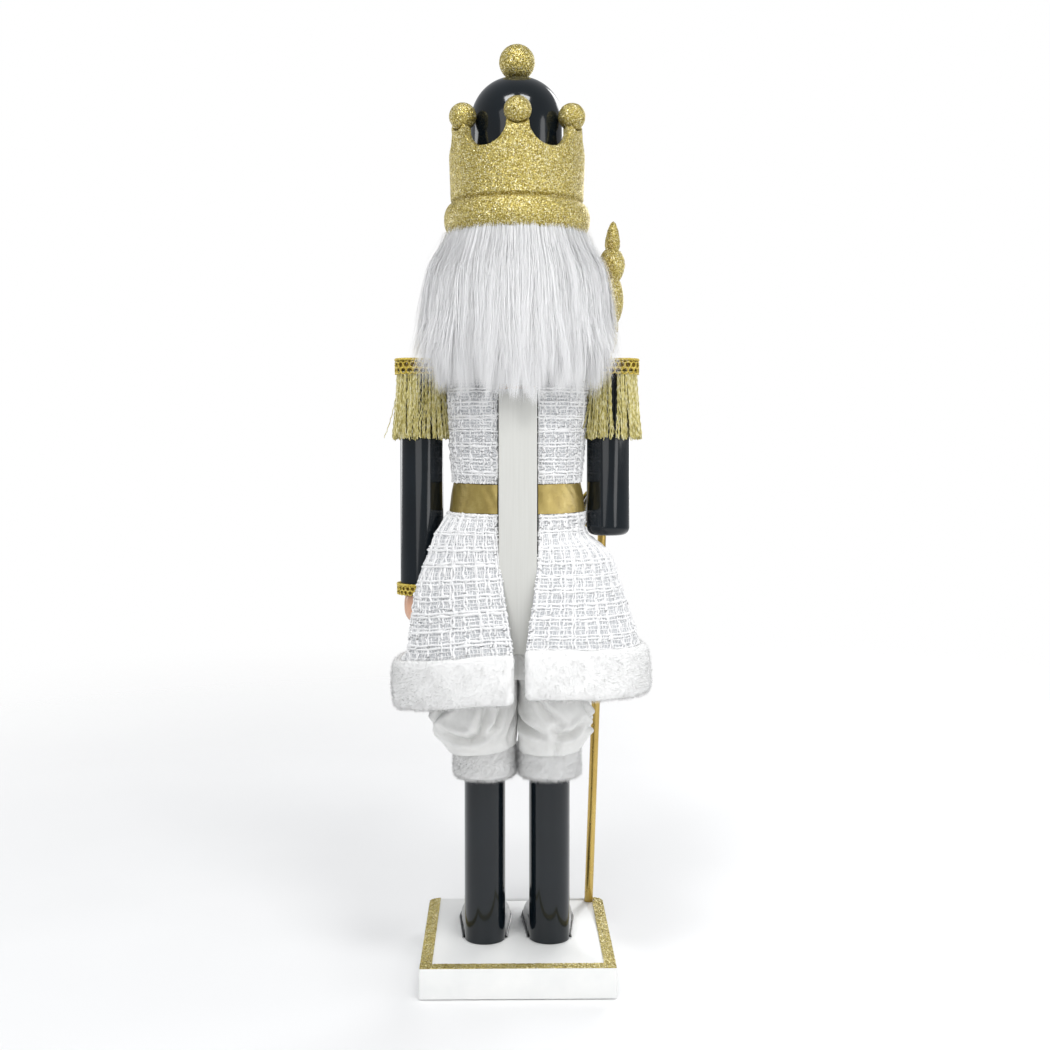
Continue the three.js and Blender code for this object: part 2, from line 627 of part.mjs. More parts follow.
// Hair: a cap of long fur from ear to ear round the back, with a notch over the top of the lever.
const hairRadii = [[386, 58], [400, 61], [415, 61], [431, 59], [455, 56], [474, 50], [484.6, 42.5]];
const hairInner = [[386, 46.6], [405, 46.6], [409, 37.4], [484.6, 37.4]];
const hairFront = 112;
const hairHeights = [484.6, 474, 455, 431, 415, 409, 405, 396, 386];
function hairCap() {
  const layer = (table) => (u, v) => {
    const phi = THREE.MathUtils.lerp(-hairFront, hairFront, u);
    const z = hairHeights[Math.round(v * (hairHeights.length - 1))];
    const inner = between(hairInner, z);
    const taper = Math.min(1, (hairFront - Math.abs(phi)) / 30 + 0.25);
    return polar(1, phi, inner + (between(table, z) - inner) * taper, z);
  };
  const leverNotch = block(at(-13.6, 0, 300), at(13.6, 90, 410));
  const shoulderTop = epaulette.top + 0.6;
  const leftRoom = block(at(43.2, -90, 380), at(90, 90, shoulderTop));
  const rightRoom = block(at(-90, -90, 380), at(-43.2, 90, shoulderTop));
  const chestRoom = block(at(-90, -90, 380), at(90, 16, shoulderTop));
  const cap = sheet(layer(hairRadii), layer(hairInner), 28, hairHeights.length - 1);
  return cut(cap, leverNotch, leftRoom, rightRoom, chestRoom);
}
addPart('hair', hairCap(), whiteFur);

// ---------------------------------------------------------------- the lever and the jaw

const jawProfile = [[-45, 405], [-45, 415], [-42.5, 421], [-39, 423], [-24.3, 423], [-24.3, 405]];
const armProfile = [[-24, 407], [-24, 421], [-8, 433], [8, 434], [14, 425], [lever.inner - GAP, 381],
  [lever.inner - GAP, 333], [28, 333], [4, 405]];
const leverBoard = block(at(-lever.half, lever.inner, lever.bottom), at(lever.half, lever.outer, lever.top));

addPart('jaw', sideProfile(jawProfile, lever.half), fleshPaint);
addPart('lever_arm', cut(sideProfile(armProfile, 11.5), pinRod(GAP)), bareWood);
addPart('lever', leverBoard, leverPaint);

// Beard sections: height, half width, inner and outer face.
const beardSections = [[411, 13, -45.4, -50], [404, 17, -45.6, -54], [392, 18, -46.8, -56],
  [372, 14.5, -46.8, -56], [356, 8, -46.8, -53], [350, 3, -47.2, -50.5]];
const beardRings = beardSections.map(([z, half, back, front]) => (
  squareOval(half, (back - front) / 2, 2.6, 16, [0, (back + front) / 2], z)
));
addPart('beard', loft(beardRings), whiteFur);

// ---------------------------------------------------------------- crown

function rimProfile(grow) {
  const ring = [];
  for (let i = 0; i < 10; i += 1) {
    const turn = (2 * Math.PI * i) / 10;
    ring.push([rim.radius + (rim.thick + grow) * Math.cos(turn), rim.z + (rim.half + grow) * Math.sin(turn)]);
  }
  return ring;
}

addPart('crown_rim', turnedRing(rimProfile(0), 35), glitter);

const pointStep = 360 / points.count;
const valleys = [];
const ballPlaces = [];
for (let i = 0; i < points.count; i += 1) {
  const start = polar(1, pointStep * (i + 0.5), 20, points.valleyZ);
  const end = polar(1, pointStep * (i + 0.5), 70, points.valleyZ);
  valleys.push(rod(points.valley, start, end, 24));
  ballPlaces.push(polar(1, pointStep * i, points.ring, points.z));
}
const wallProfile = [[wall.inner, wall.bottom], [wall.outer, wall.bottom],
  [wall.outer + wall.lean, wall.top], [wall.inner + wall.lean, wall.top]];
const ballRooms = ballPlaces.map((place) => ball(Array(3).fill(points.room), place.toArray(), 16, 12));
const rimRoom = turnedRing(rimProfile(GAP), 35);
addPart('crown_wall', cut(turnedRing(wallProfile, 35), rimRoom, ...valleys, ...ballRooms), glitter);

for (const [i, place] of ballPlaces.entries()) {
  const bead = new THREE.SphereGeometry(points.ball, 12, 9);
  addPart(`crown_ball_${i + 1}`, bead, glitter).position.copy(place);
}

function domeProfile() {
  const outline = [[0, dome.bottom], [dome.radius, dome.bottom]];
  for (let i = 0; i < 8; i += 1) {
    const turn = (Math.PI / 2) * (i / 8);
    const radius = dome.radius * Math.cos(turn) ** (2 / dome.power);
    outline.push([radius, dome.middle + dome.height * Math.sin(turn) ** (2 / dome.power)]);
  }
  outline.push([0, dome.middle + dome.height]);
  return outline;
}

function finialProfile(clearance) {
  const spigot = finial.spigot + clearance;
  const radius = finial.radius + clearance;
  const outline = [[0, finial.spigotBottom - clearance], [spigot, finial.spigotBottom - clearance]];
  const start = -Math.acos(spigot / radius);
  for (let i = 0; i < 10; i += 1) {
    const turn = THREE.MathUtils.lerp(start, Math.PI / 2, i / 10);
    outline.push([radius * Math.cos(turn), finial.z + radius * Math.sin(turn)]);
  }
  outline.push([0, finial.z + radius]);
  return outline;
}

addPart('crown_dome', cut(turned(domeProfile(), 32), turned(finialProfile(GAP), 16)), blackLacquer);
addPart('crown_finial', turned(finialProfile(0), 16), glitter);

// ---------------------------------------------------------------- sceptre

const staff = new THREE.Group();
staff.position.set(sceptre.x, sceptre.y, board.height);
staff.rotation.y = -degrees(sceptre.lean);
figure.add(staff);

// A turned bead between two heights: the outline swells from its necks to its belly.
function bead(bottom, top, lowNeck, highNeck, belly, steps = 6) {
  const outline = [];
  for (let i = 0; i <= steps; i += 1) {
    const t = i / steps;
    const neck = THREE.MathUtils.lerp(lowNeck, highNeck, t);
    const swell = Math.sin(Math.PI * t) ** 0.75;
    outline.push([neck + (belly - neck) * swell, THREE.MathUtils.lerp(bottom, top, t)]);
  }
  return outline;
}

const staffHeadOutline = [[0, 393.5], [3.6, 393.5], [4.4, 397], [5.8, 402], [5.9, 406], [4.9, 407.6],
  [6.2, 408.5], [6.4, 411.5], [6, 414.5],
  ...bead(415, 445, 5.5, 5.9, 9.3),
  ...bead(445.1, 466.4, 5.9, 4.6, 9.4).slice(1),
  [5.4, 469], [5.2, 473], [3.8, 480], [1.8, 485], [0, 486.5]];
const rodRoom = rod(sceptre.radius + GAP, at(0, 0, 380), at(0, 0, sceptre.rodTop + GAP));
const staffRod = rod(sceptre.radius, at(0, 0, sceptre.foot), at(0, 0, sceptre.rodTop));
addPart('sceptre_rod', staffRod, brassPaint, staff);
addPart('sceptre_head', cut(turned(staffHeadOutline, 16), rodRoom), glitter, staff);

export default nutcracker;
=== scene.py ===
"""Looks for a tall decorative nutcracker figure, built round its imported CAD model.

Shapes are written in millimetres in the figure's own frame: its axis is x = 0, y = 0, its back
faces +Y and its left side is +X. to_row() turns them into metres in the model's frame.
"""
import math
import bpy
import numpy as np
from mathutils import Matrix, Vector


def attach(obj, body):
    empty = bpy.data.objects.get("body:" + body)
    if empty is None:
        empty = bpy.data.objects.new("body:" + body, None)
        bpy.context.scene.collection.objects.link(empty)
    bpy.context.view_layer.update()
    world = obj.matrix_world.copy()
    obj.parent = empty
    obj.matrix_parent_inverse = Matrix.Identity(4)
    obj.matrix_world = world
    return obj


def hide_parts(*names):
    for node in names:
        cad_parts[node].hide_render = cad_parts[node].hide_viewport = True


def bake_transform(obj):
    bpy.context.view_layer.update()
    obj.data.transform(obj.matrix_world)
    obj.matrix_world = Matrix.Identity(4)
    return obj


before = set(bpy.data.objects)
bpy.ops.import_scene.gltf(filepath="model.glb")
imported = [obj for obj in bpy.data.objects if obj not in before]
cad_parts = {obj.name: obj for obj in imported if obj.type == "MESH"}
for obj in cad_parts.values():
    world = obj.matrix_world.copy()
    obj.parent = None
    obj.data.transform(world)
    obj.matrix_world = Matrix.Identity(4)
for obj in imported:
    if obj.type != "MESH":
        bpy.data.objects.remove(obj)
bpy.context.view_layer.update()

MM = 0.001
WELD_REACH = 0.03 * MM  # points closer than this are joined before a piece is cut
FIGURE_Y = 12.5  # how far the figure stands behind the middle of its board
SIDES = (("left", 1), ("right", -1))
TAU = 2 * math.pi

# ---------------------------------------------------------------- camera and light


def added(name, data):
    """A new object that shows the given data."""
    made = bpy.data.objects.new(name, data)
    bpy.context.collection.objects.link(made)
    return made


camera_data = bpy.data.cameras.new("camera")
camera_data.sensor_width = 36
camera_data.lens = 48.2
camera_data.shift_y = -0.05
camera = added("camera", camera_data)
bpy.context.scene.camera = camera
CAMERA_PITCH, CAMERA_YAW = math.radians(1.6), math.radians(0.875)
camera.location = (0.00895, 0.9405, 0.3555)
camera_aim = Vector((
    -math.sin(CAMERA_YAW) * math.cos(CAMERA_PITCH),
    -math.cos(CAMERA_YAW) * math.cos(CAMERA_PITCH),
    -math.sin(CAMERA_PITCH),
))
camera.rotation_mode = "QUATERNION"
camera.rotation_quaternion = camera_aim.to_track_quat("-Z", "Y")


# Name, place, height aimed at, width, height and watts. Lengths are in metres.
LIGHTS = (
    ("key_softbox", (0.62, 1.6, 0.8), 0.33, 1.0, 1.5, 7.5),
    ("right_strip", (-1.1, 0.95, 0.5), 0.33, 0.3, 1.3, 3.5),
    ("rim_strip", (-1.15, 0.05, 0.45), 0.33, 0.12, 1.2, 3),
    ("top_window_left", (0.4, 0.85, 1.7), 0.4, 0.5, 0.3, 8),
    ("top_window_right", (-0.4, 0.85, 1.7), 0.4, 0.5, 0.3, 8),
    ("front_softbox", (-0.8, -1.6, 0.9), 0.33, 0.75, 1.5, 14),
    ("front_fill", (1.3, -0.9, 0.6), 0.33, 0.4, 1.2, 5),
)
for name, place, aim_height, width, height, power in LIGHTS:
    data = bpy.data.lights.new(name, "AREA")
    data.shape = "RECTANGLE"
    data.size = width
    data.size_y = height
    data.energy = power
    lamp = added(name, data)
    lamp.location = place
    lamp.rotation_mode = "QUATERNION"
    lamp.rotation_quaternion = (Vector((0, 0, aim_height)) - Vector(place)).to_track_quat("-Z", "Z")

world = bpy.data.worlds.new("studio")
bpy.context.scene.world = world
world.use_nodes = True
world_nodes = world.node_tree.nodes
world_links = world.node_tree.links
seen = world_nodes["Background"]
seen.inputs["Color"].default_value = (1, 1, 1, 1)
seen.inputs["Strength"].default_value = 1.0
lighting = world_nodes.new("ShaderNodeBackground")
lighting.inputs["Color"].default_value = (0.95, 0.97, 1, 1)
lighting.inputs["Strength"].default_value = 0.42
ray = world_nodes.new("ShaderNodeLightPath")
choice = world_nodes.new("ShaderNodeMixShader")
world_links.new(ray.outputs["Is Camera Ray"], choice.inputs["Fac"])
world_links.new(lighting.outputs["Background"], choice.inputs[1])
world_links.new(seen.outputs["Background"], choice.inputs[2])
world_links.new(choice.outputs["Shader"], world_nodes["World Output"].inputs["Surface"])

bpy.context.scene.view_settings.view_transform = "Standard"

# ---------------------------------------------------------------- materials


def linear(code):
    """Linear RGBA of an sRGB colour written as six hex digits."""
    parts = [int(code[i:i + 2], 16) / 255 for i in (0, 2, 4)]
    parts = [c / 12.92 if c <= 0.04045 else ((c + 0.055) / 1.055) ** 2.4 for c in parts]
    return (*parts, 1.0)


class Shader:
    """A Principled material with a few short cuts for procedural detail.

    Texture space is the object's own, in millimetres."""

    def __init__(self, name, color, roughness, **sockets):
        self.material = bpy.data.materials.new(name)
        self.material.use_nodes = True
        self.tree = self.material.node_tree
        self.base = self.tree.nodes["Principled BSDF"]
        self.base.inputs["Base Color"].default_value = linear(color)
        self.base.inputs["Roughness"].default_value = roughness
        for socket, value in sockets.items():
            self.base.inputs[socket.replace("_", " ").title().replace("Ior", "IOR")].default_value = value
        self.space = {}

    def node(self, kind, **settings):
        made = self.tree.nodes.new("ShaderNode" + kind)
        for key, value in settings.items():
            setattr(made, key, value)
        return made

    def link(self, source, target):
        self.tree.links.new(source, target)

    def coordinates(self, stretch=(1, 1, 1)):
        if stretch not in self.space:
            place = self.node("TexCoord")
            scale = self.node("Mapping")
            scale.inputs["Scale"].default_value = tuple(1000 * s for s in stretch)
            self.link(place.outputs["Object"], scale.inputs["Vector"])
            self.space[stretch] = scale.outputs["Vector"]
        return self.space[stretch]

    def noise(self, size, stretch=(1, 1, 1), detail=3.0, rough=0.55):
        """Noise with features about as many millimetres across as size."""
        made = self.node("TexNoise")
        made.inputs["Scale"].default_value = 1 / size
        made.inputs["Detail"].default_value = detail
        made.inputs["Roughness"].default_value = rough
        self.link(self.coordinates(stretch), made.inputs["Vector"])
        return made.outputs["Fac"]

    def cells(self, size, output="Color"):
        made = self.node("TexVoronoi")
        made.inputs["Scale"].default_value = 1 / size
        self.link(self.coordinates(), made.inputs["Vector"])
        return made.outputs[output]

    def bands(self, size, axis="X", distort=0.0):
        made = self.node("TexWave", bands_direction=axis)
        made.inputs["Scale"].default_value = 0.314 / size
        made.inputs["Distortion"].default_value = distort
        self.link(self.coordinates(), made.inputs["Vector"])
        return made.outputs["Fac"]

    def ramp(self, source, *stops):
        made = self.node("ValToRGB")
        elements = made.color_ramp.elements
        while len(elements) < len(stops):
            elements.new(0.5)
        for element, (place, color) in zip(elements, stops):
            element.position = place
            element.color = linear(color)
        self.link(source, made.inputs["Fac"])
        return made.outputs["Color"]

    def spread(self, source, low, high):
        made = self.node("MapRange")
        made.inputs["To Min"].default_value = low
        made.inputs["To Max"].default_value = high
        self.link(source, made.inputs["Value"])
        return made.outputs["Result"]

    def paint(self, source, *stops):
        self.link(self.ramp(source, *stops), self.base.inputs["Base Color"])
        return self

    def gloss(self, source, low, high):
        self.link(self.spread(source, low, high), self.base.inputs["Roughness"])
        return self

    def bump(self, source, height, strength=1.0):
        """Adds relief; height is in millimetres. Calls stack."""
        made = self.node("Bump")
        made.inputs["Distance"].default_value = height * MM
        made.inputs["Strength"].default_value = strength
        self.link(source, made.inputs["Height"])
        normal = self.base.inputs["Normal"]
        if normal.is_linked:
            self.link(normal.links[0].from_socket, made.inputs["Normal"])
        self.link(made.outputs["Normal"], normal)
        return self

    def sparkle(self, size, amount):
        """Tilts the surface by cell, as flakes of glitter lie."""
        geometry = self.node("NewGeometry")
        centred = self.node("VectorMath", operation="SUBTRACT")
        centred.inputs[1].default_value = (0.5, 0.5, 0.5)
        self.link(self.cells(size), centred.inputs[0])
        scaled = self.node("VectorMath", operation="SCALE")
        scaled.inputs["Scale"].default_value = amount
        self.link(centred.outputs[0], scaled.inputs[0])
        tilted = self.node("VectorMath", operation="ADD")
        self.link(geometry.outputs["Normal"], tilted.inputs[0])
        self.link(scaled.outputs[0], tilted.inputs[1])
        unit = self.node("VectorMath", operation="NORMALIZE")
        self.link(tilted.outputs[0], unit.inputs[0])
        self.link(unit.outputs[0], self.base.inputs["Normal"])
        return self


def black_lacquer():
    look = Shader("black_lacquer", "10171c", 0.12, specular_ior_level=0.3,
                  coat_weight=0.3, coat_roughness=0.04)
    look.paint(look.noise(30), (0.3, "0a1116"), (0.7, "10181e"))
    look.gloss(look.noise(12), 0.09, 0.17)
    look.bump(look.noise(9, detail=1), 0.05)
    return look.material


def white_paint():
    look = Shader("white_paint", "f4f4f1", 0.45, coat_weight=0.15, coat_roughness=0.3)
    look.paint(look.noise(25, (1, 0.3, 1)), (0.25, "e4e5e4"), (0.75, "eeeeec"))
    look.gloss(look.noise(6), 0.38, 0.55)
    look.bump(look.noise(1.6, (0.15, 1, 1)), 0.1, 0.5)
    look.bump(look.noise(0.5), 0.04, 0.4)
    return look.material


def lever_paint():
    look = Shader("lever_paint", "dcdcd8", 0.45)
    streaks = look.noise(1.2, (1, 1, 0.03), detail=4)
    look.paint(streaks, (0.25, "cbcbc6"), (0.5, "cecec9"), (0.8, "d2d2ce"))
    look.gloss(look.noise(8, (1, 1, 0.2)), 0.38, 0.52)
    look.bump(streaks, 0.04, 0.5)
    look.bump(look.noise(0.4), 0.03, 0.4)
    return look.material


def bare_wood():
    look = Shader("bare_wood", "c9a473", 0.65)
    grain = look.noise(2.2, (1, 1, 0.08), detail=6)
    look.paint(grain, (0.3, "a97f4d"), (0.5, "c79f6b"), (0.75, "dcbb8c"))
    look.bump(grain, 0.15, 0.6)
    return look.material


def screw_steel():
    look = Shader("screw_steel", "b3b6ba", 0.3, metallic=1.0)
    look.paint(look.noise(1.5), (0.3, "8f9296"), (0.7, "c2c5c8"))
    look.bump(look.noise(0.5, (1, 1, 6)), 0.05)
    return look.material


def gold_glitter():
    look = Shader("gold_glitter", "c2ad55", 0.33, metallic=0.6)
    # Each flake takes a random tone from dark olive to near white: partly the flakes' own tone, partly
    # painted glints on the lightest and painted shade on the darkest.
    flakes = look.node("SeparateColor")
    look.link(look.cells(0.5), flakes.inputs["Color"])
    look.paint(flakes.outputs["Red"], (0.0, "77651f"), (0.3, "a39043"), (0.6, "c4b35f"),
               (0.85, "e2d48c"), (0.96, "fdf7d6"))
    look.gloss(flakes.outputs["Green"], 0.25, 0.55)
    look.sparkle(0.45, 0.95)
    return look.material


def gold_metal():
    look = Shader("gold_metal", "b9943c", 0.28, metallic=0.9, coat_weight=0.3, coat_roughness=0.1)
    look.paint(look.noise(8, (1, 1, 0.2)), (0.3, "b99a4e"), (0.7, "d2b768"))
    look.gloss(look.noise(3), 0.22, 0.36)
    look.bump(look.noise(6, (1, 1, 0.05)), 0.01, 0.4)
    return look.material


def gold_leather():
    look = Shader("gold_leather", "b89e55", 0.38, metallic=0.55, coat_weight=0.25, coat_roughness=0.25)
    look.paint(look.noise(7, (1, 1, 0.6)), (0.25, "978345"), (0.55, "a99552"), (0.8, "bdab6a"))
    look.gloss(look.noise(5), 0.3, 0.48)
    look.bump(look.noise(5, (0.7, 0.7, 1.6)), 0.35, 0.8)
    look.bump(look.cells(0.8, "Distance"), 0.08, 0.5)
    return look.material


def gold_gimp():
    look = Shader("gold_gimp", "d7b93d", 0.38, metallic=0.3)
    look.paint(look.noise(0.9), (0.3, "b3952e"), (0.5, "dcc350"), (0.7, "f3e386"))
    look.bump(look.bands(0.4, "DIAGONAL", 1.5), 0.15)
    return look.material


def gimp_ground():
    look = Shader("gimp_ground", "8d7325", 0.5, metallic=0.3)
    look.paint(look.noise(0.8), (0.3, "5f4a12"), (0.7, "9c8130"))
    look.bump(look.bands(0.4, "Z", 1.0), 0.15)
    return look.material


def gold_fringe():
    look = Shader("gold_fringe", "cfc172", 0.3, metallic=0.3)
    look.paint(look.noise(1.1, (1, 1, 0.35)), (0.3, "b3a553"), (0.5, "e3d88e"), (0.7, "fffbe0"))
    look.bump(look.bands(0.35, "DIAGONAL", 0.8), 0.12)
    return look.material


def flesh_paint(name, dark, light):
    look = Shader(name, "e0b195", 0.38, coat_weight=0.25, coat_roughness=0.2)
    look.paint(look.noise(20), (0.3, dark), (0.7, light))
    look.gloss(look.noise(5), 0.32, 0.45)
    look.bump(look.noise(0.9), 0.03, 0.6)
    return look


def tweed_ground():
    look = Shader("tweed_ground", "dcdee0", 0.85, sheen_weight=0.3, sheen_roughness=0.5)
    weave = look.noise(0.7, (1, 1, 1), detail=2)
    look.paint(weave, (0.28, "abafb3"), (0.45, "cfd1d4"), (0.62, "e4e5e7"), (0.8, "f3f3f3"))
    look.bump(look.bands(0.55, "Z", 2.0), 0.25, 0.8)
    look.bump(weave, 0.35, 0.8)
    return look.material


def tweed_yarn():
    look = Shader("tweed_yarn", "f4f4f4", 0.85, sheen_weight=0.5, sheen_roughness=0.4)
    look.paint(look.noise(0.8), (0.25, "ececed"), (0.55, "fbfbfb"))
    look.bump(look.noise(0.4, detail=4), 0.25, 0.8)
    return look.material


def plush():
    look = Shader("white_plush", "fbfbfa", 0.9, sheen_weight=0.5, sheen_roughness=0.5)
    look.paint(look.noise(2.5), (0.25, "f9f9f8"), (0.6, "fefefd"))
    look.bump(look.noise(0.6), 0.3, 0.7)
    return look.material


def trouser_cloth():
    look = Shader("trouser_cloth", "e3e3e1", 0.75, sheen_weight=0.35, sheen_roughness=0.4)
    look.paint(look.noise(9), (0.3, "dcdcda"), (0.7, "e8e8e6"))
    look.bump(look.bands(0.35, "Z", 0.6), 0.05, 0.6)
    look.bump(look.noise(0.35), 0.06, 0.5)
    return look.material


def hair_fibre(name, dark, light):
    look = Shader(name, light, 0.5, sheen_weight=0.15)
    look.paint(look.noise(1.3, (1, 1, 0.08)), (0.3, dark), (0.6, light))
    look.bump(look.noise(0.5, (1, 1, 0.05)), 0.1, 0.5)
    return look.material


def face_paint(name, color, roughness=0.25):
    look = Shader(name, color, roughness, coat_weight=0.4, coat_roughness=0.1)
    look.gloss(look.noise(3), roughness * 0.8, roughness * 1.3)
    look.bump(look.noise(0.8), 0.02)
    return look.material


LACQUER = black_lacquer()
PAINT = white_paint()
LEVER = lever_paint()
WOOD = bare_wood()
STEEL = screw_steel()
GLITTER = gold_glitter()
GOLD = gold_metal()
LEATHER = gold_leather()
GIMP = gold_gimp()
GIMP_GROUND = gimp_ground()
FRINGE = gold_fringe()
FLESH = flesh_paint("flesh_paint", "dcab8f", "e4b79c").material
GROUND = tweed_ground()
YARN = tweed_yarn()
PLUSH = plush()
CLOTH = trouser_cloth()
HAIR = hair_fibre("white_hair", "f1f1f2", "fdfdfd")
# The hair under the loose strands is a greyer copy of the white hair: painted shade between and under the
# locks.
SHADED_UNDER_HAIR = hair_fibre("shaded_under_hair", "dddde0", "f0f0f1")

# ---------------------------------------------------------------- mesh helpers


def to_row(points):
    spots = np.asarray(points, dtype=float).reshape(-1, 3)
    return (spots + (0, FIGURE_Y, 0)) * MM


def piece(name, points, faces, material, slot, body="root", replaces=(), crease=40):
    """One smooth-shaded mesh from points in millimetres and faces of equal length."""
    spots = to_row(points)
    corners = np.asarray(faces, dtype=np.int32)
    mesh = bpy.data.meshes.new(name)
    mesh.vertices.add(len(spots))
    mesh.vertices.foreach_set("co", spots.ravel())
    mesh.loops.add(corners.size)
    mesh.loops.foreach_set("vertex_index", corners.ravel())
    mesh.polygons.add(len(corners))
    width = corners.shape[1]
    mesh.polygons.foreach_set("loop_start", np.arange(0, corners.size, width, dtype=np.int32))
    mesh.update(calc_edges=True)
    mesh.validate()
    mesh.shade_smooth()
    if crease:
        mesh.set_sharp_from_angle(angle=math.radians(crease))
    mesh.materials.append(material)
    made = added(name, mesh)
    if replaces:
        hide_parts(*replaces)
    if body:
        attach(made, body)
    return made


def grid_faces(rows, columns, close_rows=False, close_columns=False):
    i, j = np.meshgrid(
        np.arange(rows if close_rows else rows - 1),
        np.arange(columns if close_columns else columns - 1),
        indexing="ij",
    )
    down, across = (i + 1) % rows, (j + 1) % columns
    here, below = i * columns, down * columns
    return np.stack([here + j, here + across, below + across, below + j], -1).reshape(-1, 4)


def sheet_of(points, close_rows=False, close_columns=False):
    """The (points, faces) pair of a grid of points."""
    return points.reshape(-1, 3), grid_faces(*points.shape[:2], close_rows, close_columns)


def around(radius, phi, z, side=1):
    """Places at angles round the figure's axis, from the back towards the given side."""
    return np.stack([side * radius * np.sin(phi), radius * np.cos(phi), z], -1)


def powered(value, power):
    """A power of the value's size, with the value's sign."""
    return np.sign(value) * np.abs(value) ** power


def unit(vectors):
    """The same vectors, one long."""
    return vectors / np.maximum(np.linalg.norm(vectors, axis=-1, keepdims=True), 1e-9)


def merged(*parts):
    """Joins (points, faces) pairs into one pair."""
    points, faces, start = [], [], 0
    for spots, corners in parts:
        spots = np.asarray(spots, dtype=float).reshape(-1, 3)
        points.append(spots)
        faces.append(np.asarray(corners) + start)
        start += len(spots)
    return np.concatenate(points), np.concatenate(faces)


def smooth(table, keys, column=1):
    """A smooth curve through a table's rows, which start with their key."""
    rows = np.array(sorted(row[:3] for row in table), dtype=float)
    x, y = rows[:, 0], rows[:, column]
    slope = np.gradient(y, x)
    keys = np.asarray(keys, dtype=float)
    i = np.clip(np.searchsorted(x, keys) - 1, 0, len(x) - 2)
    step = x[i + 1] - x[i]
    t = np.clip((keys - x[i]) / step, 0, 1)
    start = (2 * t**3 - 3 * t**2 + 1) * y[i] + (t**3 - 2 * t**2 + t) * step * slope[i]
    return start + (3 * t**2 - 2 * t**3) * y[i + 1] + (t**3 - t**2) * step * slope[i + 1]


def ease(value, low, high):
    t = np.clip((np.asarray(value, dtype=float) - low) / (high - low), 0, 1)
    return t * t * (3 - 2 * t)


def waves(seed, *values, count=5, base=1.0):
    """Smooth repeatable noise of about +-1 from a few sine waves over the given values."""
    rng = np.random.default_rng(seed)
    total = 0
    for k in range(count):
        turn = rng.uniform(0, TAU)
        for value in values:
            rate = base * rng.uniform(0.6, 1.6) * (1 + 0.6 * k) * rng.choice([-1, 1])
            turn = turn + np.asarray(value) * rate
        total = total + np.sin(turn) / (1 + 0.5 * k)
    return total / 2.2


def rounded(profile, radius, steps=4, closed=False):
    """A polyline of (r, z) with its corners rounded."""
    spots = [np.array(p, dtype=float) for p in profile]
    result = []
    for k, spot in enumerate(spots):
        if not closed and k in (0, len(spots) - 1):
            result.append(spot)
            continue
        before, after = spots[k - 1], spots[(k + 1) % len(spots)]
        reach = min(radius, np.linalg.norm(before - spot) / 2.2, np.linalg.norm(after - spot) / 2.2)
        start = spot + (before - spot) / np.linalg.norm(before - spot) * reach
        end = spot + (after - spot) / np.linalg.norm(after - spot) * reach
        for t in np.linspace(0, 1, steps + 1):
            result.append((1 - t) ** 2 * start + 2 * t * (1 - t) * spot + t**2 * end)
    return np.array(result)


def spaced(profile, step):
    """The same polyline with points a step apart."""
    profile = np.asarray(profile, dtype=float)
    run = np.concatenate([[0], np.cumsum(np.linalg.norm(np.diff(profile, axis=0), axis=1))])
    keys = np.linspace(0, run[-1], max(2, int(run[-1] / step)) + 1)
    return np.stack([np.interp(keys, run, profile[:, k]) for k in range(profile.shape[1])], -1)


def lathe(outline, segments=96, centre=(0, 0, 0), closed=False):
    """Turns an (r, z) outline about the vertical line through centre."""
    outline = np.asarray(outline, dtype=float)
    turn = np.arange(segments) * TAU / segments
    radius = np.maximum(outline[:, :1], 0.01)
    points = np.stack([
        centre[0] + radius * np.cos(turn), centre[1] + radius * np.sin(turn),
        centre[2] + np.repeat(outline[:, 1:], segments, 1),
    ], -1)
    return points, grid_faces(len(outline), segments, closed, True)


def face_normals(points, faces):
    """Each face's normal, twice as long as its area."""
    corner = points[faces]
    return np.cross(corner[:, 2] - corner[:, 0], corner[:, -1] - corner[:, 1])


def normals_of(points, faces):
    """The unit normal at each point."""
    spots = np.asarray(points, dtype=float).reshape(-1, 3)
    normal = face_normals(spots, faces)
    result = np.zeros_like(spots)
    for k in range(faces.shape[1]):
        np.add.at(result, faces[:, k], normal)
    return unit(result)


def roughened(shape, amount, seed):
    """Moves every point along its normal by a random part of amount, in millimetres."""
    points, faces = shape
    spots = np.asarray(points, dtype=float).reshape(-1, 3)
    push = np.random.default_rng(seed).uniform(-amount, amount, (len(spots), 1))
    return spots + normals_of(spots, faces) * push, faces


def outward(shape):
    """Flips the faces where most of them look at the shape's middle."""
    points, faces = shape
    spots = np.asarray(points, dtype=float).reshape(-1, 3)
    if np.sum(face_normals(spots, faces) * (spots[faces].mean(1) - spots.mean(0))) < 0:
        faces = faces[:, ::-1]
    return spots, faces


def tubes(paths, radii, sides=5, hint=(0, 0, 1)):
    """Tubes along many paths: paths is (count, steps, 3), radii (count, steps)."""
    paths = np.asarray(paths, dtype=float)
    count, steps, _ = paths.shape
    radii = np.broadcast_to(radii, (count, steps))
    along = unit(np.gradient(paths, axis=1))
    across = unit(np.cross(along, np.broadcast_to(hint, along.shape)))
    other = np.cross(along, across)
    turn = np.arange(sides) * TAU / sides
    ring = across[:, :, None] * np.cos(turn)[:, None] + other[:, :, None] * np.sin(turn)[:, None]
    points = paths[:, :, None] + ring * radii[:, :, None, None]
    faces = grid_faces(steps, sides, False, True)
    starts = np.arange(count)[:, None, None] * steps * sides
    return points.reshape(-1, 3), (faces[None] + starts).reshape(-1, 4)


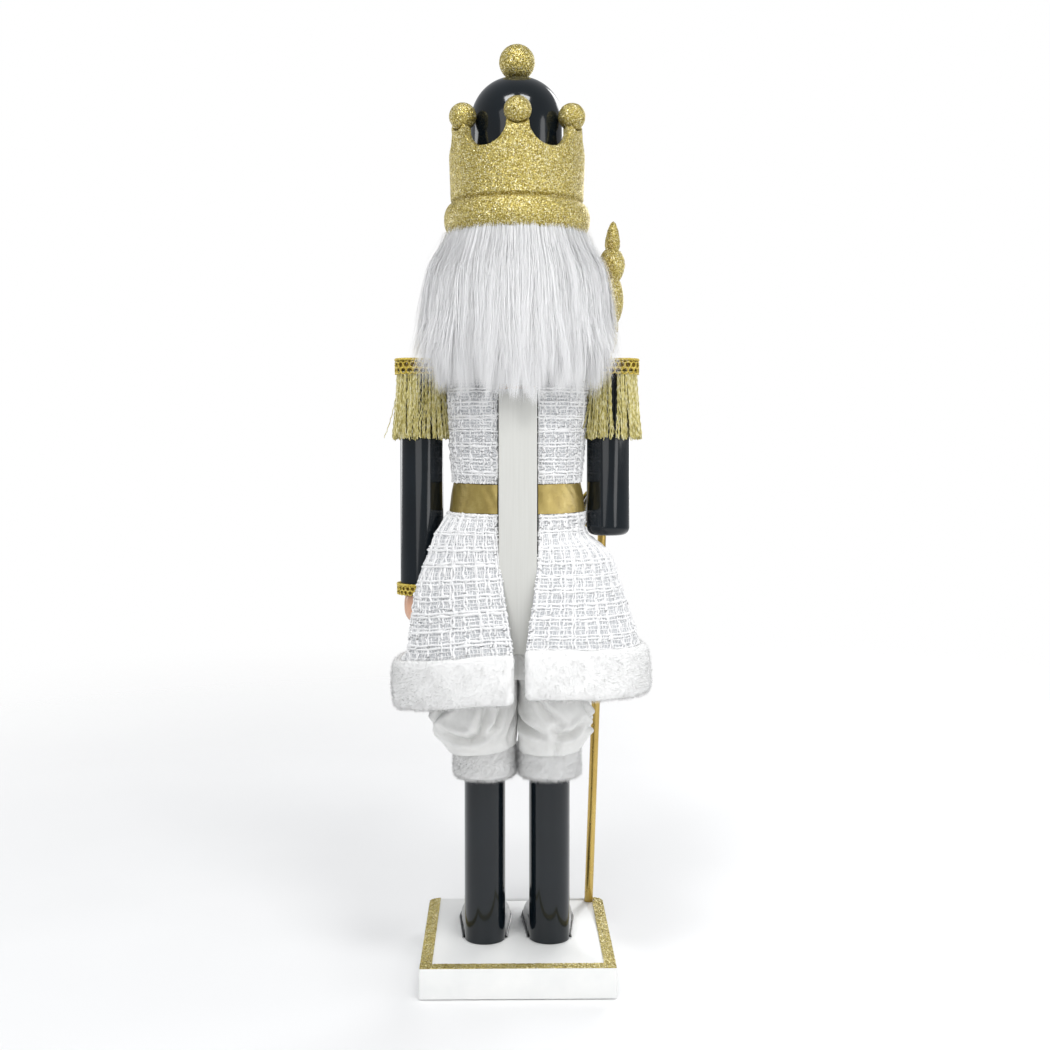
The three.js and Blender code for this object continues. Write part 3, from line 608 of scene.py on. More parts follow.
def ribbons(paths, widths, facing):
    """Flat strands along many paths, each turned so that its width lies across facing."""
    paths = np.asarray(paths, dtype=float)
    count, steps, _ = paths.shape
    across = unit(np.cross(np.gradient(paths, axis=1), facing[:, None]))
    half = across * (np.broadcast_to(widths, (count, steps)) / 2)[:, :, None]
    points = np.stack([paths - half, paths + half], 2)
    faces = grid_faces(steps, 2)
    starts = np.arange(count)[:, None, None] * steps * 2
    return points.reshape(-1, 3), (faces[None] + starts).reshape(-1, 4)


def scattered(shape, count, rng):
    """Random places on a shape's quads, and the way out of the surface there."""
    points, faces = shape
    spots = np.asarray(points, dtype=float).reshape(-1, 3)
    normal = face_normals(spots, faces)
    area = np.linalg.norm(normal, axis=1)
    chosen = rng.choice(len(faces), count, p=area / area.sum())
    u, v = rng.random((2, count, 1))
    quad = spots[faces[chosen]]
    near_edge = quad[:, 0] * (1 - u) + quad[:, 1] * u
    far_edge = quad[:, 3] * (1 - u) + quad[:, 2] * u
    spots = near_edge * (1 - v) + far_edge * v
    return spots, normal[chosen] / np.maximum(area[chosen, None], 1e-9)


def pile(shape, count, length, width, seed, lean=0.75, lie=(0, 0, -0.35)):
    """Short fibres that stand on a shape and lean about, as the pile of plush does.

    Also gives each point's soft shading normal."""
    rng = np.random.default_rng(seed)
    roots, out = scattered(shape, count, rng)
    way = out + rng.normal(0, lean, (count, 3)) * 0.5 + np.array(lie)
    way /= np.linalg.norm(way, axis=1, keepdims=True)
    reach = length * rng.uniform(0.6, 1.15, (count, 1))
    curl = rng.normal(0, 0.2, (count, 3)) + np.array(lie) * 0.6
    steps = np.array([0.0, 0.55, 1.0])[None, :, None]
    paths = (roots - out * 0.3)[:, None] + way[:, None] * reach[:, None] * steps
    paths = paths + curl[:, None] * reach[:, None] * steps**2
    facing = out + rng.normal(0, 0.25, (count, 3))
    shade = out + rng.normal(0, 0.14, (count, 3))
    return ribbons(paths, np.array([1.0, 0.8, 0.15]) * width, facing), np.repeat(shade, 6, 0)


def furry(name, base, count, length, width, seed, **settings):
    """A plush piece: a soft body with its pile standing on it."""
    fur, shade = pile(base, count, length, width, seed)
    made = piece(name, *merged(base, fur), PLUSH, "white_plush", crease=0, **settings)
    return softened(made, np.concatenate([normals_of(*base), shade]))


def softened(made, normals):
    """Shades every point of a piece with a given normal, so that fibres read as one soft surface."""
    made.data.normals_split_custom_set_from_vertices(unit(normals).tolist())
    return made


def carved(made, *shapes):
    """Welds a piece's doubled points and cuts each shape out of it."""
    made.modifiers.new("weld", "WELD").merge_threshold = WELD_REACH
    cutters = [plain_object("cutter", *shape) for shape in shapes]
    for cutter in cutters:
        step = made.modifiers.new("carve", "BOOLEAN")
        step.operation = "DIFFERENCE"
        step.object = cutter
    settled(made)
    for cutter in cutters:
        bpy.data.objects.remove(cutter)


def settled(made):
    """Applies a piece's modifiers to its mesh."""
    graph = bpy.context.evaluated_depsgraph_get()
    mesh = bpy.data.meshes.new_from_object(made.evaluated_get(graph))
    made.modifiers.clear()
    made.data = mesh


def plain_object(name, points, faces):
    """An object from faces of any length, not yet a piece."""
    mesh = bpy.data.meshes.new(name)
    mesh.from_pydata(to_row(points).tolist(), [], [list(map(int, face)) for face in faces])
    return added(name, mesh)


def prism(outline, low, high, axes="xyz"):
    """A straight prism of a closed 2-D outline, between two values of the third axis."""
    outline = np.asarray(outline, dtype=float)
    count = len(outline)
    first, second, third = ("xyz".index(a) for a in axes)
    points = np.zeros((2 * count, 3))
    points[:, first] = np.tile(outline[:, 0], 2)
    points[:, second] = np.tile(outline[:, 1], 2)
    points[:, third] = np.repeat((low, high), count)
    sides = [[i, (i + 1) % count, count + (i + 1) % count, count + i] for i in range(count)]
    return points, [list(range(count))[::-1], list(range(count, 2 * count)), *sides]


def solid(name, shape, material, body="root", replaces=(), bevel=0.5, segments=2):
    """A piece from a prism, with its edges rounded over."""
    made = plain_object(name, *shape)
    made.data.materials.append(material)
    clean = made.modifiers.new("round", "BEVEL")
    clean.width = bevel * MM
    clean.segments = segments
    clean.limit_method = "ANGLE"
    settled(made)
    made.data.shade_smooth()
    made.data.set_sharp_from_angle(angle=math.radians(50))
    if replaces:
        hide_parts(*replaces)
    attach(made, body)
    return made


def dress(material, *nodes):
    """Gives CAD nodes whose shape is right a better material."""
    for node in nodes:
        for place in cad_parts[node].material_slots:
            place.material = material


# ---------------------------------------------------------------- base board

BOARD = {"half_x": 62.5, "half_y": 67.5, "height": 19.5, "front_corner": 8, "back_corner": 1.5}
LEG = {"x": 21.4, "radius": 13.55, "top": 200}
SCEPTRE = {"x": -52, "y": -73, "lean": math.radians(2), "radius": 3}


def board_outline(inset=0.0, steps=8):
    """The board's outline in the figure's frame, counterclockwise seen from above."""
    half_x, half_y = BOARD["half_x"] - inset, BOARD["half_y"] - inset
    corners = [(1, -1, BOARD["front_corner"]), (1, 1, BOARD["back_corner"]),
               (-1, 1, BOARD["back_corner"]), (-1, -1, BOARD["front_corner"])]
    outline = []
    for k, (sx, sy, radius) in enumerate(corners):
        radius = max(radius - inset, 0.3)
        for turn in np.linspace(0, math.pi / 2, steps) + (k - 1) * math.pi / 2:
            outline.append((sx * (half_x - radius) + radius * math.cos(turn),
                            sy * (half_y - radius) + radius * math.sin(turn) - FIGURE_Y))
    return outline


board = solid("board", prism(board_outline(), 0, BOARD["height"]), PAINT,
              replaces=("base_board",), bevel=0.9, segments=3)


def rod_shape(radius, start, end, segments=24):
    points, faces = tubes([[start, end]], radius, segments)
    caps = [list(range(segments))[::-1], list(range(segments, 2 * segments))]
    return points, [*map(list, faces), *caps]


def on_sceptre(s):
    """A place on the sceptre's leaning axis, s above the board."""
    lean = SCEPTRE["lean"]
    return np.array([SCEPTRE["x"] - s * math.sin(lean), SCEPTRE["y"], BOARD["height"] + s * math.cos(lean)])


SOCKET = {"radius": 3.4, "depth": 7.9}
SCREW_HOLE = {"radius": 4.7, "depth": 3.9}
carved(board, rod_shape(SOCKET["radius"], on_sceptre(-SOCKET["depth"]), on_sceptre(6)),
       *(rod_shape(SCREW_HOLE["radius"], (side * LEG["x"], 0, -1), (side * LEG["x"], 0, SCREW_HOLE["depth"]))
         for _, side in SIDES))


def glitter_tape():
    cell, inset, width = 0.5, 0.4, 8.0
    across = np.arange(-BOARD["half_x"] + inset, BOARD["half_x"] - inset + 0.01, cell)
    along = np.arange(-BOARD["half_y"] + inset, BOARD["half_y"] - inset + 0.01, cell)
    x, y = np.meshgrid(across, along, indexing="ij")
    faces = grid_faces(*x.shape)
    mid_x, mid_y = x.ravel()[faces].mean(1), y.ravel()[faces].mean(1)
    inner = (np.abs(mid_x) < BOARD["half_x"] - width) & (mid_y < BOARD["half_y"] - width)
    corner = BOARD["front_corner"]
    over_x = np.abs(mid_x) - (BOARD["half_x"] - corner)
    over_y = -mid_y - (BOARD["half_y"] - corner)
    outside = (over_x > 0) & (over_y > 0) & (np.hypot(over_x, over_y) > corner - inset)
    rod_hole = np.hypot(mid_x - SCEPTRE["x"], mid_y - SCEPTRE["y"] - FIGURE_Y) < 4.4
    faces = faces[~(inner | outside | rod_hole)]
    used, faces = np.unique(faces, return_inverse=True)
    faces = faces.reshape(-1, 4)
    rng = np.random.default_rng(11)
    top = np.stack([x.ravel(), y.ravel(), np.full(x.size, BOARD["height"] + 0.45)], -1)[used]
    top[:, 2] += rng.uniform(-0.22, 0.22, len(top))
    top[:, :2] += rng.uniform(-0.12, 0.12, (len(top), 2))
    top[:, 1] -= FIGURE_Y
    edges = np.concatenate([faces[:, [k, (k + 1) % 4]] for k in range(4)])
    pair = np.sort(edges, axis=1)
    _, first, tally = np.unique(pair, axis=0, return_index=True, return_counts=True)
    rim = edges[first[tally == 1]]
    low = top - (0, 0, 0.4)
    low[:, 2] = BOARD["height"] + 0.02
    skirt = np.stack([rim[:, 0], rim[:, 0] + len(top), rim[:, 1] + len(top), rim[:, 1]], -1)
    return np.concatenate([top, low]), np.concatenate([faces, skirt])


piece("tape_glitter", *glitter_tape(), GLITTER, "gold_glitter", replaces=("base_glitter_tape",))

# ---------------------------------------------------------------- legs, shoes, cuffs

# How far forward, half width and height.
SHOE = [(-0.1, 13.9, 22), (14, 15, 22), (30, 16.4, 19), (45, 16.8, 15), (55, 14.2, 11), (61, 8.5, 7),
        (63.5, 3, 4)]
TOE_START, TOE_LENGTH = 55, 8.5


def shoe(x):
    """A rounded shoe in front of a leg, with a welt along its sole."""
    toe = TOE_START + TOE_LENGTH * np.sin(np.linspace(0, 1, 24)[1:] * math.pi / 2)
    forward = np.concatenate([np.linspace(0, TOE_START, 40), toe])
    half = smooth(SHOE, forward)
    height = smooth(SHOE, forward, 2)
    turn = np.linspace(0, math.pi, 49)
    lift = np.sin(turn) ** 0.75
    points = np.stack([
        x + half[:, None] * np.cos(turn), np.repeat(-forward[:, None], len(turn), 1),
        BOARD["height"] + 0.02 + height[:, None] * lift,
    ], -1)
    welt = np.concatenate([points[:, 0] + (0.5, 0, 0.6), points[::-1, -1] + (-0.5, 0, 0.6)])
    welt[:, 0] = x + (welt[:, 0] - x) * 0.995
    return merged(outward(sheet_of(points)), tubes([welt], 0.75, 8))


for name, side in SIDES:
    x = side * LEG["x"]
    foot, radius, top = BOARD["height"] + 0.1, LEG["radius"], LEG["top"]
    profile = rounded([(0, foot), (radius, foot), (radius, top), (0, top)], 0.6)
    piece(f"boot_leg_{name}", *lathe(profile, 128, (x, 0, 0)), LACQUER, "black_lacquer",
          replaces=(f"leg_{name}",))
    piece(f"boot_shoe_{name}", *shoe(x), LACQUER, "black_lacquer", replaces=(f"shoe_{name}",), crease=60)

CUFF = {"bottom": 128.5, "top": 153.8, "outer": 19.6, "inner": 13.9}


def cuff_base(x, seed):
    """The body of a plush cuff round a leg: a soft ring with slight lumps."""
    low, high = CUFF["bottom"] + 1, CUFF["top"] - 1
    profile = rounded([(CUFF["inner"], low), (CUFF["outer"] + 0.7, low),
                       (CUFF["outer"] + 0.4, high), (CUFF["inner"], high)], 4.5, 6, True)
    profile = spaced(np.concatenate([profile, profile[:1]]), 1.0)[:-1]
    spots, faces = outward(lathe(profile, 120, (x, 0, 0), True))
    lump = waves(seed, spots[:, 0], spots[:, 1], spots[:, 2], count=6, base=0.35)
    return spots + normals_of(spots, faces) * (0.3 * lump)[:, None], faces


for name, side in SIDES:
    base = cuff_base(side * LEG["x"], 20 + side)
    furry(f"cuff_fur_{name}", base, 40000, 2.2, 0.15, 30 + side, replaces=(f"fur_cuff_{name}",))

# ---------------------------------------------------------------- trousers

# Height, reach from the middle and half depth of each leg, and how low its sag hangs over the cuff.
PUFF = {
    "left": [(146, 46, 26), (153, 51, 28), (160, 55, 31), (166, 56.5, 33), (180, 54, 34), (197, 46, 35),
             (212, 38, 36.5), (230, 37.7, 37.5)],
    "right": [(146, 43.5, 25), (154, 46, 27), (161, 47.5, 30), (168, 48, 32), (182, 46, 34), (197, 43, 35),
              (212, 38, 36.5), (230, 37.7, 37.5)],
}
HANG = {"z": 149.5, "sway": -3, "left": 0.6, "right": 1.9}
WAIST_Z = 230
HIP_RADIUS = 36.7  # just outside the hip block
TURN_UNDER = 0.88  # the part of the cloth's length above its turned-under foot
TUCK = {"z": 156, "radius": 17}  # where the foot ends, inside the sag

# The main folds of each leg: a run of angles in degrees and heights, then depth and width in millimetres.
FOLDS = {
    "left": [
        ([(103, 182), (101, 168), (96, 161.5), (82, 158.5), (64, 159.5), (46, 163)], 7.0, 2.3),
        ([(130, 180), (120, 168), (106, 162)], 4.5, 1.9),
        ([(168, 176), (150, 166), (140, 157)], 3.5, 2.2),
        ([(40, 182), (30, 172), (12, 163), (-8, 160)], 4.5, 2.4),
        ([(60, 190), (52, 180), (40, 174)], 3.0, 2.2),
    ],
    "right": [
        ([(174, 173), (150, 167), (124, 163), (108, 160.5)], 6.0, 2.2),
        ([(92, 166), (84, 161), (64, 161.5), (40, 168)], 5.5, 2.1),
        ([(90, 160), (86, 154), (85, 149)], 3.0, 2.0),
        ([(122, 190), (104, 178), (84, 170)], 4.0, 2.3),
        ([(30, 178), (16, 168), (-6, 161), (-24, 160)], 4.5, 2.4),
    ],
}


def folded(name, t, z, seed):
    """How far the folds push a leg's cloth in and out: the back's own, and more like them in front."""
    rng = np.random.default_rng(seed)
    total = 1.3 * waves(seed, 3 * t, z / 18, count=4)
    for turned in (False, True):
        for way, depth, width in FOLDS[name]:
            angles = np.radians([angle for angle, _ in way])
            if turned:
                angles = -angles + rng.normal(0, 0.15)
            along = np.linspace(0, len(way) - 1, 60)
            line_t = np.interp(along, range(len(way)), angles)
            line_z = np.interp(along, range(len(way)), [height for _, height in way])
            line_z = line_z + turned * rng.normal(0, 3)
            across = (t[..., None] - line_t + math.pi) % TAU - math.pi
            apart = np.hypot(across * 28, z[..., None] - line_z)
            nearest = apart.argmin(-1)
            apart = apart.min(-1)
            taper = np.sin(math.pi * np.linspace(0.06, 0.94, 60))[nearest] ** 0.6
            trough = np.exp(-((apart / width) ** 2))
            crest = np.exp(-(((apart - 2.3 * width) / (1.3 * width)) ** 2))
            total = total + depth * taper * (0.4 * crest - trough)
    return total


def trouser(name, side):
    """A gathered, ballooning trouser leg that sags over its cuff and turns under."""
    v, t = np.meshgrid(np.linspace(0, 1, 170), np.linspace(0, TAU, 281)[:-1], indexing="ij")
    hang = HANG["z"] + HANG["sway"] * np.cos(t - HANG[name])
    fall = np.sin(np.minimum(v / TURN_UNDER, 1) * math.pi / 2) ** 1.15
    z = np.where(v < TURN_UNDER, WAIST_Z + (hang - WAIST_Z) * fall,
                 hang + (TUCK["z"] - hang) * ease(v, TURN_UNDER, 1.0))
    reach, depth = smooth(PUFF[name], z), smooth(PUFF[name], z, 2)
    centre = reach / 2 * ease(z, 235, 190)
    half_x = np.where(z > 197, reach - centre, reach / 2)
    local_x = half_x * powered(np.cos(t), 2 / 2.2)
    local_y = depth * powered(np.sin(t), 2 / 2.2)
    seed = 50 + side
    body = ease(v, 0.97, 0.86) * (1 - ease(z, 205, 226))
    gathers = 0.8 * np.sin(22 * t + 2 * waves(seed + 5, 2 * t, z / 25))
    gathers = gathers * ease(z, 190, 215) * ease(z, 231, 222)
    push = body * folded(name, t, z, seed) + gathers
    scale = 1 + push / np.maximum(np.hypot(local_x, local_y), 8)
    tuck = ease(v, 0.86, 1.0)
    x = (centre + local_x * scale) * (1 - tuck) + (LEG["x"] + TUCK["radius"] * np.cos(t)) * tuck
    y = local_y * scale * (1 - tuck) + TUCK["radius"] * np.sin(t) * tuck
    block = HIP_RADIUS / np.maximum(np.hypot(x, y), 1)
    over_block = np.where(z > 198, np.maximum(block, 1), 1)
    x, y = np.maximum(x * over_block, 0.02), y * over_block
    return sheet_of(np.stack([side * x, y, z], -1), False, True)


for name, side in SIDES:
    made = piece(f"trouser_cloth_{name}", *outward(trouser(name, side)), CLOTH, "trouser_cloth",
                 replaces=(f"trouser_{name}",), crease=0)

# ---------------------------------------------------------------- coat skirt and its fur hem

SKIRT_TOP = 304.2
FUR_HEIGHT = 31.5
SKIRT = {
    "left": [(304.2, 44.4, 44.4), (293, 54, 46), (275, 62, 49.5), (259, 68.5, 52.5), (241, 71.5, 56),
             (222, 74, 59.5), (200, 76.5, 62), (176, 77, 63.5)],
    "right": [(304.2, 44.3, 44.3), (289, 45.8, 46.4), (279, 58, 48.8), (259, 67, 52.5), (241, 73, 56),
              (225, 78.5, 59), (200, 83, 62), (184, 84.5, 63.5)],
}
# How far from the middle each tail's back edge hangs, by height.
TAIL_EDGE = {
    "left": [(304.5, 12.9), (290, 12.6), (277, 11.2), (252, 8.2), (227, 4.2), (214, 2.6), (187, 3.4)],
    "right": [(304.5, 13.1), (290, 12.8), (277, 12.3), (252, 9.6), (233, 6.6), (217, 4.6), (187, 4.2)],
}
ARM = {"x": 63, "bent_x": 60.5, "y": -4, "radius": 14.2, "top": 401.3}
WRIST_Z, FIST_Z = 253.5, 243
ELBOW_Z = 302.2
FOREARM_END = -58
NO_LIMIT = 200
SLIT_HALF = 12.9  # half the width of the gap that bodice and belt leave for the lever


def hem_bottom(name, phi):
    """Height of a tail's foot, which hangs lower at the side than at the back."""
    height, drop = {"left": (187.5, 11.5), "right": (190, 4)}[name]
    return height - drop * np.sin(phi) ** 2


def arm_limit(phi, z):
    """How far out the left tail may hang where the straight arm is in front of it."""
    clear = ARM["radius"] + 5.2
    turn = phi - math.atan2(ARM["x"], ARM["y"])
    reach = math.hypot(ARM["x"], ARM["y"])
    off = reach * np.sin(turn)
    inside = (np.abs(off) < clear) & (np.cos(turn) > 0)
    near = reach * np.cos(turn) - np.sqrt(np.maximum(clear**2 - off**2, 0))
    near = near + 1.6 * np.maximum(0, FIST_Z - 16 - z)
    return np.where(inside, near, NO_LIMIT)


def skirt_radius(name, phi, z):
    """How far out a tail hangs: an oval flare with pleats and slow waves."""
    half_width, half_depth = smooth(SKIRT[name], z), smooth(SKIRT[name], z, 2)
    flare = half_width * half_depth / np.hypot(half_depth * np.sin(phi), half_width * np.cos(phi))
    seed = {"left": 61, "right": 62}[name]
    pleat = np.sin(26 * phi + 2.2 * waves(seed, 3 * phi, z / 60, count=3))
    pleat = pleat * (0.5 + 0.5 * waves(seed + 4, 5 * phi))
    flare = flare + 1.1 * pleat * ease(z, 262, 300) * (1 - 0.7 * ease(z, 300, 304.2))
    flare = flare + 1.5 * waves(seed + 8, 3.2 * phi, z / 70, count=3) * ease(z, 290, 230)
    return np.minimum(flare, arm_limit(phi, z)) if name == "left" else flare


def skirt_phi(name, u, z):
    """Angle from the back of a place on a tail, between its back and front edges."""
    deep = smooth(SKIRT[name], z, 2)
    start = np.arcsin(smooth(TAIL_EDGE[name], z) / deep)
    end = math.pi - np.arcsin(5 / deep)
    return start + (end - start) * u


def skirt_point(name, side, u, v, out=0.0):
    """A place on a tail: u runs from the back slit to the front one, v from the belt to the hem."""
    foot = hem_bottom(name, skirt_phi(name, u, 217.0)) + FUR_HEIGHT - 4
    z = SKIRT_TOP + (foot - SKIRT_TOP) * v
    phi = skirt_phi(name, u, z)
    return around(skirt_radius(name, phi, z) + out, phi, z, side)


def cloth_shell(surface, across, down, thick):
    """A thin closed sheet over surface(u, v, out)."""
    u, v = np.meshgrid(np.linspace(0, 1, across), np.linspace(0, 1, down), indexing="ij")
    outer, inner = surface(u, v, 0.0), surface(u, v, -thick)
    faces = grid_faces(across, down)
    shift = across * down
    edge = np.concatenate([
        np.arange(down), np.arange(1, across) * down + down - 1,
        (across - 1) * down + np.arange(down - 2, -1, -1), np.arange(across - 2, 0, -1) * down,
    ])
    ahead = np.roll(edge, -1)
    rim = np.stack([edge, ahead, ahead + shift, edge + shift], -1)
    points = np.concatenate([outer.reshape(-1, 3), inner.reshape(-1, 3)])
    return points, np.concatenate([faces, faces[:, ::-1] + shift, rim[:, ::-1]])


def yarn_run(surface, fixed, along_u, steps, radius, rng):
    """One slubby yarn laid over a sheet, along u or along v."""
    t = np.linspace(0, 1, steps)
    wander = np.cumsum(rng.normal(0, 1, steps))
    wander = (wander - np.linspace(wander[0], wander[-1], steps)) / max(1.0, np.abs(wander).max())
    ripple = np.sin(t * rng.uniform(60, 110) + 2 * np.sin(9 * t) + rng.uniform(0, TAU))
    line = fixed + 0.006 * wander + 0.0022 * ripple
    u, v = (t, line) if along_u else (line, t)
    slub = 0.6 + 0.75 * np.abs(waves(int(rng.integers(1e6)), t * 30, count=5))
    slub = slub + rng.uniform(-0.1, 0.1, steps)
    height = radius * (0.35 + 0.25 * np.sin(t * rng.uniform(60, 90) + rng.uniform(0, 6)))
    return surface(np.clip(u, 0, 1), np.clip(v, 0, 1), height), radius * slub


def tweed_yarns(surface, across, down, pitch, seed, bold=0.9):
    """A ragged windowpane of thick yarns over a close ground of thin ones."""
    rng = np.random.default_rng(seed)
    parts = []
    for along_u, extent, run in ((True, down, across), (False, across, down)):
        steps = int(run / 0.85)
        place, k, runs = rng.uniform(0.5, 2), 0, []
        while place < extent - 0.4:
            radius = bold * (rng.uniform(0.75, 1.15) if k % 4 in (0, 1) else rng.uniform(0.3, 0.5))
            runs.append(yarn_run(surface, place / extent, along_u, steps, radius, rng))
            place += pitch * (0.23 if k % 4 == 0 else 0.26) * rng.uniform(0.8, 1.25)
            k += 1
        paths, radii = zip(*runs)
        parts.append(tubes(paths, np.array(radii), 4))
    return merged(*parts)


def loose_ends(surface, seed, count=44):
    """Little loops and cut ends that stand out of a sheet's two side edges."""
    rng = np.random.default_rng(seed)
    v = rng.random(count)[:, None] * 0.95
    edge = np.where(rng.random(count) < 0.65, 0.0, 1.0)[:, None]
    inward = np.where(edge < 0.5, 1, -1)
    t = np.linspace(0, 1, 7)[None]
    flat = 0 * t + 0 * v
    reach = rng.uniform(0.15, 0.5, (count, 1))
    start = surface(edge + flat, v + flat, 0.2)
    way = unit(start - surface(edge + inward * 0.03 + flat, v + flat, 0.2))
    curl = np.stack([flat, flat, np.sin(t * math.pi) * rng.uniform(-1.0, 1.0, (count, 1))], -1)
    arch = np.sin(t * math.pi * rng.uniform(0.5, 1, (count, 1))) * reach
    paths = start + way * arch[:, :, None] + curl
    return tubes(paths, rng.uniform(0.3, 0.55, (count, 1)), 4, (0.3, 0.5, 0.2))


def hem_shape(name, side):
    """The stuffed plush band round a tail's foot, with rounded ends."""
    u = np.linspace(0, 1, 170)
    phi = skirt_phi(name, u, 205.0)
    bottom = hem_bottom(name, phi)
    middle = bottom + FUR_HEIGHT / 2
    turn = np.arange(44) * TAU / 44
    from_end = np.minimum(u, 1 - u) * 200
    end = np.sqrt(np.clip(1 - (1 - np.clip(from_end / 4.5, 0, 1)) ** 2, 0.02, 1))
    out = 3.7 * powered(np.cos(turn), 0.75)
    up = (FUR_HEIGHT / 2 - 0.4) * powered(np.sin(turn), 0.55)
    seed = 80 + side
    z = middle[:, None] + up * (0.8 + 0.2 * end[:, None]) + 0.8 * waves(seed, 6 * phi, count=4)[:, None]
    phi_at = phi[:, None] + 0 * z
    radius = skirt_radius(name, phi_at, z) + 1.6 + out * end[:, None]
    radius = radius + 0.35 * waves(seed + 1, 9 * phi_at, z / 7, count=5)
    radius = radius + 0.9 * waves(seed + 2, 3.5 * phi_at, z / 22, count=3)
    return outward(sheet_of(around(radius, phi_at, z, side), False, True))


def tail_blend(made):
    """Bakes a tail piece's placement into its mesh; the tail's back edge hangs behind the lever."""
    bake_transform(made)


for name, side in SIDES:
    def surface(u, v, out=0.0, name=name, side=side):
        return skirt_point(name, side, u, v, out)
    ground = piece(f"skirt_ground_{name}", *outward(cloth_shell(surface, 170, 90, 1.0)), GROUND,
                   "white_tweed", body=None, replaces=(f"coat_skirt_{name}",), crease=60)
    yarns = piece(f"skirt_yarns_{name}", *tweed_yarns(surface, 190, 88, 9.0, 90 + side), YARN,
                  "white_tweed", body=None, crease=0)
    ends = piece(f"skirt_edge_loops_{name}", *loose_ends(surface, 95 + side), YARN,
                 "white_tweed", body=None, crease=0)
    hem = furry(f"hem_plush_{name}", hem_shape(name, side), 45000, 2.0, 0.17, 100 + side, body=None,
                replaces=(f"hem_fur_{name}",))
    for made in (ground, yarns, ends, hem):
        tail_blend(made)

# ---------------------------------------------------------------- coat body, belt and buckle

TORSO = [(232, 40), (236, 41), (300, 41), (310, 40), (323, 40), (338, 41.4), (350, 42.2), (398, 42.3),
         (404, 41)]
BODICE = {"bottom": 323.4, "top": 401.5}
CHIN_NOTCH = {"half": 13.8, "bottom": 386.5}  # room in the collar for the falling jaw


def bodice_point(u, v, out=0.0):
    z = BODICE["top"] + (BODICE["bottom"] - BODICE["top"]) * v
    radius = smooth(TORSO, z) + 1.9
    radius = radius + 0.3 * waves(110, 9 * u * TAU, z / 20, count=4)
    start = np.arcsin(SLIT_HALF / radius)
    phi = start + (TAU - 2 * start) * u
    chin = (np.abs(np.sin(phi) * radius) < CHIN_NOTCH["half"]) & (np.cos(phi) < 0)
    z = np.where(chin, np.minimum(z, CHIN_NOTCH["bottom"]), z)
    return around(radius + out, phi, z)


bodice = piece("bodice_ground", *outward(cloth_shell(bodice_point, 260, 70, 1.0)), GROUND, "white_tweed",
               replaces=("coat_bodice",), crease=60)
bodice_yarns = piece("bodice_yarns", *tweed_yarns(bodice_point, 245, 77, 8.4, 112, 0.85), YARN,
                     "white_tweed", crease=0)
bodice_ends = piece("bodice_edge_loops", *loose_ends(bodice_point, 113), YARN, "white_tweed", crease=0)

BELT = {"bottom": 304.5, "top": 323, "outer_bottom": 45.2, "outer_top": 42.4}


def belt_point(u, v, out=0.0):
    z = BELT["top"] + (BELT["bottom"] - BELT["top"]) * v
    radius = BELT["outer_top"] + (BELT["outer_bottom"] - BELT["outer_top"]) * v - 0.5
    start = np.arcsin(SLIT_HALF / radius)
    phi = start + (TAU - 2 * start) * u
    wrinkle = waves(120, 14 * phi, z / 6, count=5) * 0.2 + 0.3 * np.sin(v * math.pi)
    edge = 0.5 * waves(121, 6 * phi, count=4) * (v - 0.5)
    return around(radius + wrinkle + out, phi, z + edge)


belt = piece("belt_band", *outward(cloth_shell(belt_point, 300, 24, 1.1)), LEATHER, "gold_leather",
             replaces=("belt",), crease=60)

BUCKLE = {"half": 15, "half_height": 12.5, "bar": 4.5, "front": -48.3, "back": -46, "z": 313.7}


def buckle_outline(shrink):
    half, high = BUCKLE["half"] - shrink, BUCKLE["half_height"] - shrink
    return [(sx * half, BUCKLE["z"] + sz * high) for sx, sz in ((-1, -1), (1, -1), (1, 1), (-1, 1))]


def frame_ring(outer, inner, low, high):
    """A picture-frame solid in the xz plane between two depths."""
    points = [(x, y, z) for y in (low, high) for ring in (outer, inner) for x, z in ring]
    faces = []
    for k in range(4):
        n = (k + 1) % 4
        faces += [[k, n, 4 + n, 4 + k], [8 + k, 12 + k, 12 + n, 8 + n],
                  [k, 8 + k, 8 + n, n], [4 + k, 4 + n, 12 + n, 12 + k]]
    return points, faces


buckle = frame_ring(buckle_outline(0), buckle_outline(BUCKLE["bar"]), BUCKLE["front"], BUCKLE["back"])
solid("buckle_frame", buckle, GOLD, replaces=("belt_buckle",), bevel=0.8, segments=3)

# ---------------------------------------------------------------- arms and hands


def upright_arm(x, bottom, corner):
    """An upright dowel with rounded ends; corner is the radius at its foot."""
    top = ARM["top"] - 0.3
    profile = [(0, bottom), (ARM["radius"], bottom), (ARM["radius"], top), (0, top)]
    low = rounded(profile[:3], corner, 10)[:-1]
    high = rounded(profile[1:], 3.0, 6)[1:]
    return outward(lathe(np.concatenate([low, high]), 128, (x, ARM["y"], 0)))


for name, cad_node, x, bottom, corner in (("left", "arm_left", ARM["x"], WRIST_Z, 0.8),
                                          ("right", "upper_arm_right", -ARM["bent_x"], 288, 6.5)):
    piece(f"sleeve_{name}", *upright_arm(x, bottom, corner), LACQUER, "black_lacquer", replaces=(cad_node,))


def forearm():
    """The bent arm's lower part, coped to fit against its upper part."""
    turn = np.arange(128) * TAU / 128
    full = ARM["radius"] - 0.02
    start = ARM["y"] - np.sqrt((ARM["radius"] + 0.25) ** 2 - (full * np.cos(turn)) ** 2)
    rings = [(full, start + (FOREARM_END - start) * t) for t in np.linspace(0, 1, 14)]
    rings.append((0.01, FOREARM_END + 0 * turn))
    points = np.array([
        np.stack([-ARM["bent_x"] + radius * np.cos(turn), y, ELBOW_Z + radius * np.sin(turn)], -1)
        for radius, y in rings
    ])
    return outward(sheet_of(points, False, True))


